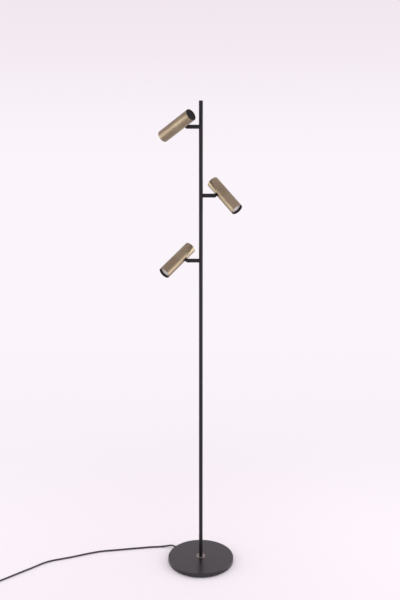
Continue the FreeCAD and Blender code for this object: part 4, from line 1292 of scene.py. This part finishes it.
@dataclass
class RoundBase:
    """Lacquered steel disc with rubber feet, wiring pocket and bronze collar."""

    radius: float = 115 * MM
    low: float = 3 * MM
    high: float = 16 * MM
    edge_round: float = 1.6 * MM
    low_round: float = 0.5 * MM
    recess_radius: float = 40.2 * MM
    recess_depth: float = 1.5 * MM
    pocket_radius: float = 32 * MM
    pocket_depth: float = 8.2 * MM
    stem_hole: float = 5.1 * MM
    channel_start: float = 30 * MM
    channel_width: float = 7 * MM
    channel_roof: float = 11.8 * MM
    cord_turn: float = 140.0
    cord_height: float = 8.5 * MM
    seat_radius: float = 4.2 * MM
    seat_depth: float = 12 * MM
    flange_radius: float = 5.5 * MM
    flange: float = 1.2 * MM
    nose: float = 8.8 * MM
    nose_tip: float = 3.4 * MM
    ribs: int = 4
    rib_depth: float = 0.35 * MM
    rib_shares: tuple[float, ...] = (0.55, 0.15, 0.15, 0.15)
    gland_round: float = 0.08 * MM
    play: float = 0.05 * MM
    foot_circle: float = 107.0 * MM
    foot_turn: float = -70.2
    foot_radius: float = 6 * MM
    foot_low_radius: float = 5.4 * MM
    sole_round: float = 0.8 * MM
    sole_rim: float = 1.6 * MM
    sole_dish: float = 0.5 * MM
    sole_taper: float = 0.85
    collar_radius: float = 16 * MM
    collar_height: float = 2.2 * MM
    collar_round: float = 0.6 * MM
    collar_bore: float = 6.55 * MM
    collar_bore_round: float = 0.3 * MM

    def build(self) -> None:
        """Build every piece of the base."""
        self.build_disc()
        self.build_feet()
        self.build_collar()
        self.build_gland()
        dress(COVER_BLACK, "pocket_cover")
        dress(ZINC, "base_screws", "base_stem", "base_nut", "base_washer")
        dress(SWITCH_SHELL, "cord_clamp")
        dress(NYLON, "terminal_block")
        dress(SHEATH, "cord_inner")

    def build_disc(self) -> None:
        """Shape the disc: rounded rims, stepped pocket, cord channel and holes."""
        disc = Workpiece.rod("base_plate", self.radius, self.low, self.high - self.low, 192)
        disc.round_rims([self.high], self.edge_round, 5)
        disc.round_rims([self.low], self.low_round, 2)
        disc.pick_bottom()
        disc.inset(self.radius - self.low_round - self.recess_radius)
        disc.draw_out(self.recess_depth)
        disc.inset(self.recess_radius - self.pocket_radius)
        disc.draw_out(self.pocket_depth)
        stem = Workpiece.rod("stem_hole", self.stem_hole, 0.0, 2 * self.high, 64)
        reach = self.radius - self.seat_depth
        channel = Workpiece.block(
            "channel", (reach - self.channel_start, self.channel_width, self.channel_roof),
            ((reach + self.channel_start) / 2, 0.0, self.channel_roof / 2))
        seat = Workpiece.rod("gland_seat", self.seat_radius, 0.0, 2 * self.seat_depth, 48)
        seat.place(shifted(reach, z=self.cord_height) @ ALONG_X)
        for tool in (channel, seat):
            tool.place(turned_about(UP, self.cord_turn))
        disc.cut(stem, channel, seat)
        disc.polish(30.0).fit("stand", BASE_LACQUER, "base_steel", "base_disc")

    def build_feet(self) -> None:
        """Shape one soft foot with a dished sole, then set four round the rim."""
        foot = Workpiece.cone("feet", self.foot_low_radius, self.foot_radius, 0.0, self.low, 48)
        foot.round_rims([0.0], self.sole_round, 4)
        foot.pick_bottom().inset(self.sole_rim).draw_out(self.sole_dish, self.sole_taper)
        foot.polish(50.0)
        foot.place(shifted(self.foot_circle))
        foot.place(turned_about(UP, self.foot_turn))
        others = [foot.copy(f"foot_{quarter}").place(turned_about(UP, 90.0 * quarter))
                  for quarter in (1, 2, 3)]
        foot.gather(*others).fit("stand", FOOT_RUBBER, "rubber_black", "base_feet")

    def build_collar(self) -> None:
        """Shape the bronze ring at the pole's foot."""
        ring = Workpiece.rod("foot_collar", self.collar_radius, self.high, self.collar_height)
        ring.cut(Workpiece.rod("collar_bore", self.collar_bore, 0.0, 4 * self.high))
        top = self.high + self.collar_height
        ring.round_rims([top], self.collar_round, 4, self.collar_radius)
        ring.round_rims([top], self.collar_bore_round, 2, self.collar_bore)
        ring.mark_own_place().polish(35.0).fit("stand", COLLAR_BRONZE, "bronze", "base_collar")

    def build_gland(self) -> None:
        """Shape the rubber strain relief: bush, flange and ribbed tapered nose."""
        reach = self.radius - self.seat_depth
        snug = self.seat_radius - self.play
        bush = Workpiece.rod("strain_relief", snug, 0.0, self.seat_depth, 48)
        bush.pick_top().draw_out(SLIVER, self.flange_radius / snug)
        bush.draw_out(self.flange - SLIVER)
        bush.draw_out(SLIVER, self.seat_radius / self.flange_radius)
        pitch = (self.nose - SLIVER) / self.ribs
        taper = (self.nose_tip - self.seat_radius) / self.ribs
        for index in range(self.ribs):
            before, wide, slim = (self.seat_radius + taper * (index + part)
                                  for part in (0.0, 0.5, 1.0))
            groove = wide - self.rib_depth
            grows = (wide / before, groove / wide, 1.0, slim / groove)
            for share, grow in zip(self.rib_shares, grows):
                bush.draw_out(share * pitch, grow)
        bush.break_edges(self.gland_round, 2, 30.0).polish(45.0)
        bush.place(turned_about(UP, self.cord_turn)
                   @ shifted(reach, z=self.cord_height) @ ALONG_X)
        bush.fit("stand", FOOT_RUBBER, "rubber_black", "cord_gland")


@dataclass
class BlackPole:
    """Slim tube with a bevelled cap, and the wires inside it."""

    radius: float = 6.5 * MM
    wall: float = 1.5 * MM
    low: float = 16 * MM
    top: float = 1580 * MM
    cap_head: float = 1.2 * MM
    cap_plug: float = 8 * MM
    cap_round: float = 0.4 * MM
    end_round: float = 0.15 * MM
    play: float = 0.05 * MM

    def build(self) -> None:
        """Build the tube and its cap, and dress the wires."""
        neck = self.top - self.cap_head
        tube = Workpiece.rod("pole_tube", self.radius, self.low, neck - self.low, 64, True)
        tube.wall(self.wall).round_rims([neck], self.end_round, 2, self.radius)
        tube.polish(35.0).fit("stand", POLE_COAT, "pole_black", "pole")
        cap = Workpiece.rod("pole_top_cap", self.radius, neck, self.cap_head, 64)
        cap.round_rims([self.top], self.cap_round, 3)
        cap.pick_bottom().inset(self.wall + self.play).draw_out(-self.cap_plug)
        cap.polish(30.0).fit("stand", POLE_COAT, "pole_black", "pole_cap")
        dress(WIRE_SLEEVE, "pole_wiring")
        dress(SCREW_BLACK, "arm_grub_screws")


# ------------------------------------------------------------------ arm and spotlight

class Side(Enum):
    """Side of the pole on which an arm stands, as a turn about the pole."""

    RIGHT = 0.0
    LEFT = 180.0


@dataclass
class JointShape:
    """Sizes that all three arms and their turning and tilting joints share."""

    arm_radius: float = 6.5 * MM
    arm_wall: float = 1.5 * MM
    saddle: float = 6.53 * MM
    seam: float = 33 * MM
    seam_gap: float = 0.1 * MM
    seam_round: float = 0.25 * MM
    reach: float = 44 * MM
    stem_end: float = 13.1 * MM
    stem_radius: float = 4.95 * MM
    bore: float = 2.5 * MM
    slot_width: float = 5 * MM
    slot_depth: float = 7 * MM
    swivel_round: float = 0.22 * MM
    pin_radius: float = 1.5 * MM
    pin_play: float = 0.03 * MM
    pin_round: float = 0.3 * MM
    pin_seat: float = 2.9 * MM
    pin_head: float = 2.8 * MM
    pin_half: float = 5.7 * MM
    pin_head_height: float = 1.5 * MM
    key_radius: float = 1.15 * MM
    key_depth: float = 1.0 * MM
    grub_place: float = 27.5 * MM
    groove: float = 3.2 * MM
    groove_depth: float = 0.8 * MM
    tongue: float = 4.8 * MM
    tongue_end: float = 5.6 * MM
    tongue_width: float = 10 * MM
    pad_radius: float = 6 * MM
    pad_start: float = 6.9 * MM
    pad_overlap: float = 0.6 * MM
    neck_play: float = 0.03 * MM
    neck_pin_play: float = 0.05 * MM
    neck_round: float = 0.25 * MM
    screw_radius: float = 1.5 * MM

    def arm(self) -> Workpiece:
        """Shape the arm's tube: saddled to the pole, crisp at the seam, tapped below.

        Returns:
            The arm in its own frame.
        """
        tube = Workpiece.rod("arm", self.arm_radius, 0.0, self.seam, 64, True)
        tube.wall(self.arm_wall)
        saddle = Workpiece.rod("saddle", self.saddle, -PAST, 2 * PAST, 96)
        tap = Workpiece.rod("tap", self.screw_radius, -PAST, PAST, 32)
        tap.place(shifted(self.grub_place))
        tube.place(ALONG_X)
        tube.cut(saddle, tap)
        tube.pick_edges(lambda *ends: all(abs(end.x - self.seam) < CLOSE for end in ends))
        return tube.bevel(self.seam_round, 3).polish(35.0)

    def swivel(self) -> Workpiece:
        """Shape the turning end: grooved stem, body, round end and slot for the neck.

        Returns:
            The turning end in the arm's frame.
        """
        start = self.seam + self.seam_gap
        body = Workpiece.ball("swivel", self.arm_radius, (0.0, 0.0, self.reach), 64)
        body.edit()
        bpy.ops.mesh.select_all(action="SELECT")
        bpy.ops.mesh.bisect(plane_co=(0.0, 0.0, self.reach), plane_no=UP,
                            use_fill=True, clear_inner=True)
        body.pick_bottom().draw_out(start - self.reach)
        body.inset(self.arm_radius - self.stem_radius)
        groove_start = self.grub_place + self.groove / 2
        body.draw_out(groove_start - start)
        slim = (self.stem_radius - self.groove_depth) / self.stem_radius
        body.draw_out(-SLIVER, slim)
        body.draw_out(2 * SLIVER - self.groove)
        body.draw_out(-SLIVER, 1.0 / slim)
        body.draw_out(self.stem_end - (groove_start - self.groove))
        body.place(ALONG_X)
        slot_low = self.reach - self.slot_depth
        slot = Workpiece.block("slot", (2 * PAST, self.slot_width, 2 * PAST),
                               (slot_low + PAST, 0.0, 0.0))
        bore = Workpiece.rod("bore", self.bore, 0.0, slot_low + OVERLAP, 32)
        bore.place(ALONG_X)
        hole = Workpiece.rod("pin_hole", self.pin_radius, -PAST, 2 * PAST, 32)
        seat = Workpiece.rod("pin_seat", self.pin_seat, -PAST,
                             PAST - self.pin_half + self.pin_head_height, 48)
        for tool in (hole, seat):
            tool.place(shifted(self.reach) @ ALONG_Y)
        body.cut(slot, bore, hole, seat)
        return body.break_edges(self.swivel_round, 2, 38.0).polish(42.0)

    def pin(self) -> Workpiece:
        """Shape the tilt screw with a hexagon socket in its round head.

        Returns:
            The screw in the arm's frame.
        """
        shank = Workpiece.rod("pin", self.pin_radius - self.pin_play, -self.pin_half,
                              2 * self.pin_half, 32)
        shank.round_rims([self.pin_half], self.pin_round, 2)
        head = Workpiece.rod("pin_top", self.pin_head, -self.pin_half, self.pin_head_height, 48)
        head.round_rims([-self.pin_half], self.pin_round, 3)
        key = Workpiece.rod("key", self.key_radius, -self.pin_half - self.key_depth,
                            2 * self.key_depth, 6)
        shank.weld(head).cut(key)
        shank.place(shifted(self.reach) @ ALONG_Y)
        return shank.polish(35.0)

    def neck(self, head_axis: float, head_radius: float) -> Workpiece:
        """Shape the tongue on the tilt pin and its round pad saddled to the spotlight.

        Args:
            head_axis: Distance of the spotlight's axis from the pole.
            head_radius: Outer radius of the spotlight's tube.

        Returns:
            The neck in the arm's frame.
        """
        end = Workpiece.rod("neck", self.tongue_end, -self.tongue / 2, self.tongue, 64)
        end.place(shifted(self.reach) @ ALONG_Y)
        length = self.pad_start + self.pad_overlap
        plate = Workpiece.block("plate", (length, self.tongue, self.tongue_width),
                                (self.reach + length / 2, 0.0, 0.0))
        pad = Workpiece.rod("pad", self.pad_radius, self.reach + self.pad_start,
                            2 * self.pad_radius, 64)
        pad.place(ALONG_X)
        end.weld(plate, pad)
        space = Workpiece.rod("space", head_radius + self.neck_play, -PAST, 2 * PAST, 160)
        space.place(shifted(head_axis))
        hole = Workpiece.rod("hole", self.pin_radius + self.neck_pin_play, -PAST, 2 * PAST, 32)
        hole.place(shifted(self.reach) @ ALONG_Y)
        end.cut(space, hole)
        return end.break_edges(self.neck_round, 2, 38.0).polish(42.0)


@dataclass
class SpotShape:
    """Sizes of the spotlight that hangs at each joint, drawn about its own axis."""

    radius: float = 20 * MM
    wall: float = 1.0 * MM
    behind: float = 48.8 * MM
    before: float = 87 * MM
    rim_round: float = 0.28 * MM
    axis_from_pole: float = 71.4 * MM
    cap_recess: float = 1.5 * MM
    cap_thickness: float = 2 * MM
    cap_height: float = 8 * MM
    cap_round: float = 0.5 * MM
    cap_lip: float = 2.2 * MM
    cap_sunk: float = 0.5 * MM
    cap_taper: float = 0.97
    cap_dish: tuple[float, float] = (9.0 * MM, 0.25 * MM)
    cap_floor: float = 2.6 * MM
    cap_edge: float = 0.15 * MM
    play: float = 0.05 * MM
    baffle_inset: float = 0.3 * MM
    baffle_length: float = 13.5 * MM
    baffle_opening: float = 17.6 * MM
    baffle_seat: float = 18.3 * MM
    grooves: int = 3
    groove_depth: float = 0.35 * MM
    groove_width: float = 0.5 * MM
    front_edge: float = 0.12 * MM
    lamp_recess: float = 8 * MM
    lens_radius: float = 18.1 * MM
    lens_thickness: float = 1.6 * MM
    lens_rim: float = 1.9 * MM
    lens_sunk: float = 0.45 * MM
    lens_taper: float = 0.985
    lens_dish: tuple[tuple[float, float], ...] = ((6.0 * MM, 0.2 * MM), (4.5 * MM, 0.12 * MM))
    hole_radius: float = 1.6 * MM

    @property
    def bore(self) -> float:
        """Inner radius of the tube."""
        return self.radius - self.wall

    def tube(self) -> Workpiece:
        """Shape the brushed tube with softly broken rims and the neck screw's hole.

        Returns:
            The tube about its own axis.
        """
        tube = Workpiece.rod("spot_tube", self.radius, -self.before, self.before + self.behind,
                             160, True)
        tube.wall(self.wall)
        hole = Workpiece.rod("tube_hole", self.hole_radius, 0.0, self.radius, 32)
        hole.place(turned_about(AWAY, -90.0))
        tube.cut(hole).round_rims([-self.before, self.behind], self.rim_round, 3)
        return tube.mark_own_place().polish(35.0)

    def rear_cap(self) -> Workpiece:
        """Shape the recessed cap: a cup with a rounded lip and a shallow dished middle.

        Returns:
            The cap about the tube's axis.
        """
        outer = self.bore - self.play
        top = self.behind - self.cap_recess
        cap = Workpiece.rod("spot_cap", outer, top - self.cap_height, self.cap_height, 128)
        cap.round_rims([top], self.cap_round, 3)
        cap.pick_top().inset(self.cap_lip).draw_out(-self.cap_sunk, self.cap_taper)
        cap.dish(self.cap_dish)
        cap.pick_bottom().inset(self.cap_thickness).draw_out(self.cap_height - self.cap_floor)
        return cap.break_edges(self.cap_edge, 2, 40.0).polish(35.0)

    def baffle(self) -> Workpiece:
        """Shape the black front ring with a lamp seat behind its finely grooved lip.

        Returns:
            The ring about the tube's axis.
        """
        outer = self.bore - self.play
        front = -self.before + self.baffle_inset
        ring = Workpiece.rod("spot_ring", outer, front, self.baffle_length, 128)
        lip = self.lamp_recess - self.baffle_inset
        ring.cut(Workpiece.rod("opening", self.baffle_opening, front - PAST, 2 * PAST, 128),
                 Workpiece.rod("seat", self.baffle_seat, front + lip, 2 * PAST, 128))
        for index in range(self.grooves):
            at = front + lip * (index + 0.7) / (self.grooves + 0.4)
            ring.cut(Workpiece.rod("groove", self.baffle_opening + self.groove_depth, at,
                                   self.groove_width, 128))
        return ring.break_edges(self.front_edge, 2, 40.0).polish(35.0)

    def lens(self) -> Workpiece:
        """Shape the lamp's front: a raised rim round a shallow frosted dish.

        Returns:
            The lamp's front about the tube's axis.
        """
        front = -self.before + self.lamp_recess
        lens = Workpiece.rod("spot_lens", self.lens_radius, front, self.lens_thickness, 128)
        lens.pick_bottom().inset(self.lens_rim).draw_out(self.lens_sunk, self.lens_taper)
        lens.dish(*self.lens_dish)
        return lens.break_edges(self.front_edge, 2, 40.0).polish(35.0)


@dataclass
class SpotPose:
    """Where one arm stands and how its spotlight is turned and tilted at rest."""

    name: str
    side: Side
    height: float
    turn: float
    tilt: float

    @property
    def arm_frame(self) -> Matrix:
        """Frame of the arm: origin on the pole's axis, X out along the arm."""
        return shifted(z=self.height) @ turned_about(UP, self.side.value)

    @property
    def swivel_frame(self) -> Matrix:
        """Frame of the turning joint."""
        return self.arm_frame @ turned_about(RIGHTWARD, self.turn)

    def head_frame(self, reach: float) -> Matrix:
        """Return the frame of the tilted spotlight, still measured from the pole."""
        return self.swivel_frame @ turned_about(-AWAY, self.tilt, RIGHTWARD * reach)


@dataclass
class SpotlightTree:
    """The three arms with their joints and spotlights."""

    joint: JointShape = field(default_factory=JointShape)
    spot: SpotShape = field(default_factory=SpotShape)
    poses: list[SpotPose] = field(default_factory=lambda: [
        SpotPose("top", Side.LEFT, 1499.5 * MM, -52.0, 42.5),
        SpotPose("middle", Side.RIGHT, 1282.4 * MM, -39.0, 34.6),
        SpotPose("low", Side.LEFT, 1070.7 * MM, 45.0, 37.8),
    ])

    def build(self) -> None:
        """Shape each piece once, then set a copy of it on every arm."""
        joint, spot = self.joint, self.spot
        stand_pieces = [(joint.arm(), "arm_tube", POLE_COAT, "pole_black")]
        swivel_pieces = [(joint.swivel(), "swivel", POLE_COAT, "pole_black"),
                         (joint.pin(), "pivot_screw", SCREW_BLACK, "black_steel")]
        neck = (joint.neck(spot.axis_from_pole, spot.radius), "neck", POLE_COAT, "pole_black")
        axis_pieces = [(spot.tube(), "head_tube", BRONZE, "bronze"),
                       (spot.rear_cap(), "rear_cap", CAP_BLACK, "cap_black"),
                       (spot.baffle(), "baffle", RIM_BLACK, "cap_black"),
                       (spot.lens(), "lamp_lens", FROSTED, "lens_white")]
        for pose in self.poses:
            head = pose.head_frame(joint.reach)
            on_axis = head @ shifted(spot.axis_from_pole)
            for pieces, body, matrix in (
                    (stand_pieces, "stand", pose.arm_frame),
                    (swivel_pieces, f"swivel_{pose.name}", pose.swivel_frame),
                    ([neck], f"spot_{pose.name}", head),
                    (axis_pieces, f"spot_{pose.name}", on_axis)):
                for piece, node, finish, slot in pieces:
                    twin = piece.copy(f"{piece.solid.name}_{pose.name}").place(matrix)
                    twin.fit(body, finish, slot, f"{node}_{pose.name}")
            dress(LAMP_SHELL, f"lamp_body_{pose.name}")
            dress(CERAMIC, f"lamp_holder_{pose.name}")
            dress(ZINC, f"holder_bracket_{pose.name}", f"neck_screw_{pose.name}")
        for piece, *_ in stand_pieces + swivel_pieces + [neck] + axis_pieces:
            piece.scrap()


# ------------------------------------------------------------------ switch and plug

@dataclass
class FootSwitch:
    """Foot switch in the cord: two shells, a round button and its contact block."""

    frame: Matrix
    nose: float = 8 * MM
    nose_root: float = 4.5 * MM
    nose_end: float = 3.4 * MM
    length: float = 74 * MM
    width: float = 40 * MM
    split: float = 9 * MM
    height: float = 20 * MM
    wall: float = 2 * MM
    cord_height: float = 5 * MM
    edge_round: float = 2.5 * MM
    rim_round: float = 1.0 * MM
    shell_edge: float = 0.2 * MM
    button_radius: float = 12 * MM
    button_rim: float = 2.0 * MM
    button_dish: tuple[tuple[float, float], ...] = ((3.0 * MM, -0.4 * MM), (3.0 * MM, -0.2 * MM))
    button_rise: float = 3 * MM
    button_flange: float = 13.5 * MM
    flange_thickness: float = 2 * MM
    play: float = 0.1 * MM
    stem_radius: float = 3 * MM
    stem_length: float = 6 * MM

    def stadium(self, name: str, low: float, high: float, shrink: float = 0.0) -> Workpiece:
        """Shape a block with half-round ends by drawing a rod apart.

        Args:
            name: Name of the piece.
            low: Height of its lower face.
            high: Height of its upper face.
            shrink: How much smaller it is all round.

        Returns:
            The workpiece, about the middle of the switch.
        """
        block = Workpiece.rod(name, self.width / 2 - shrink, low, high - low, 96)
        half = (self.length - self.width) / 2
        for way in (1, -1):
            block.edit()
            mesh = bmesh.from_edit_mesh(block.solid.data)
            for vertex in mesh.verts:
                vertex.select_set(vertex.co.x * way > CLOSE)
            mesh.select_flush_mode()
            bmesh.update_edit_mesh(block.solid.data)
            block.slide(along=way * half)
        return block

    def build(self) -> list[bpy.types.Object]:
        """Build the switch and return its pieces.

        Returns:
            The switch's pieces.
        """
        middle = self.frame @ shifted(self.nose + self.length / 2)
        low = self.stadium("switch_lower_shell", 0.0, self.split)
        low.round_rims([0.0], self.rim_round, 3)
        for way in (0.0, 180.0):
            nose = Workpiece.cone("nose", self.nose_root, self.nose_end, 0.0,
                                  self.nose + self.wall, 48)
            nose.place(turned_about(UP, way)
                       @ shifted(self.length / 2 - self.wall, z=self.cord_height) @ ALONG_X)
            low.weld(nose)
        low.cut(self.stadium("inside", self.wall, 2 * self.split, self.wall))
        low.break_edges(self.shell_edge, 2, 40.0).polish(38.0).place(middle)
        high = self.stadium("switch_upper_shell", self.split, self.height)
        high.round_rims([self.height], self.edge_round, 5)
        inside = self.stadium("inside", 0.0, self.height - self.wall, self.wall)
        hole = Workpiece.rod("hole", self.button_radius + self.play, 0.0, 2 * self.height)
        high.cut(inside, hole).break_edges(self.shell_edge, 2, 40.0).polish(38.0).place(middle)
        return [low.fit("stand", SWITCH_SHELL, "switch_black", "switch_base"),
                high.fit("stand", SWITCH_SHELL, "switch_black", "switch_cover"),
                self.build_button(middle), self.keep_contact()]

    def build_button(self, middle: Matrix) -> bpy.types.Object:
        """Shape the foot button: dished top, flange below and guide stem.

        Args:
            middle: Frame of the switch's middle.

        Returns:
            The button.
        """
        under = self.height - self.wall - self.play
        top = self.height + self.button_rise
        button = Workpiece.rod("foot_button", self.button_radius, under, top - under)
        button.round_rims([top], self.rim_round, 4)
        button.pick_top().inset(self.button_rim).dish(*self.button_dish)
        button.pick_bottom().draw_out(-SLIVER, self.button_flange / self.button_radius)
        button.draw_out(SLIVER - self.flange_thickness)
        button.inset(self.button_flange - self.stem_radius)
        button.draw_out(-self.stem_length)
        button.polish(35.0).place(middle)
        return button.fit("switch_button", BUTTON_SHELL, "switch_black", "switch_button")

    def keep_contact(self) -> bpy.types.Object:
        """Dress the contact block inside the switch."""
        dress(NYLON, "switch_contact")
        return frame["nodes"]["switch_contact"]


@dataclass
class MainsPlug:
    """Flat two-pin plug with a tapered nose and grips on its sides."""

    frame: Matrix
    length: float = 26 * MM
    width: float = 34 * MM
    height: float = 13.7 * MM
    corner: float = 6 * MM
    edge_round: float = 1.2 * MM
    grips: int = 4
    grip_size: float = 1.2 * MM
    grip_pitch: float = 3.0 * MM
    grip_height: float = 0.62
    grip_start: float = 0.4
    grip_lift: float = 0.1 * MM
    nose: float = 14 * MM
    nose_end: float = 3.6 * MM
    nose_root: float = 5 * MM
    pin_radius: float = 2 * MM
    pin_length: float = 19 * MM
    pin_spacing: float = 19 * MM
    pin_round: float = 1.2 * MM

    def build(self) -> list[bpy.types.Object]:
        """Build the plug's body and its pins and return them.

        Returns:
            The plug's body and its pins.
        """
        body = Workpiece.block("plug_shell", (self.length, self.width, self.height),
                               (self.nose + self.length / 2, 0.0, 0.0))
        body.pick_edges(lambda one, other: abs(one.z - other.z) > self.height / 2)
        body.bevel(self.corner, 8)
        body.break_edges(self.edge_round, 4, 50.0)
        nose = Workpiece.cone("nose", self.nose_end, self.nose_root, 0.0, self.nose + OVERLAP, 64)
        nose.place(ALONG_X)
        body.weld(nose)
        for index in range(self.grips):
            along = self.nose + self.length * self.grip_start + index * self.grip_pitch
            for way in (1, -1):
                body.cut(Workpiece.block(
                    "grip", (self.grip_size, self.grip_size, self.height * self.grip_height),
                    (along, way * (self.width / 2 + self.grip_lift), 0.0)))
        body.polish(35.0).place(self.frame)
        shell = body.fit("stand", SWITCH_SHELL, "switch_black", "plug_body")
        face = self.nose + self.length
        pins = []
        for way in (1, -1):
            pin = Workpiece.rod("contact_pins", self.pin_radius, face, self.pin_length, 48)
            pin.round_rims([face + self.pin_length], self.pin_round, 5)
            pin.place(shifted(y=way * self.pin_spacing / 2) @ ALONG_X)
            pins.append(pin)
        pair = pins[0].gather(pins[1]).polish(40.0).place(self.frame)
        return [shell, pair.fit("stand", BRASS, "brass_pins", "plug_pins")]


def main() -> None:
    """Build the view, the cord and every sub-assembly of the lamp, in order."""
    logging.basicConfig(level=logging.INFO, format="%(name)s: %(message)s")
    PhotoCamera().build()
    cord = FloorCord()
    run, coil = cord.build()
    Studio().build()
    RoundBase().build()
    BlackPole().build()
    SpotlightTree().build()
    switch = FootSwitch(cord.parked).build()
    plug_frame = cord.parked @ shifted(*cord.plug_entry) @ turned_about(UP, 180.0)
    plug = MainsPlug(plug_frame).build()


if __name__ == "__main__":
    main()
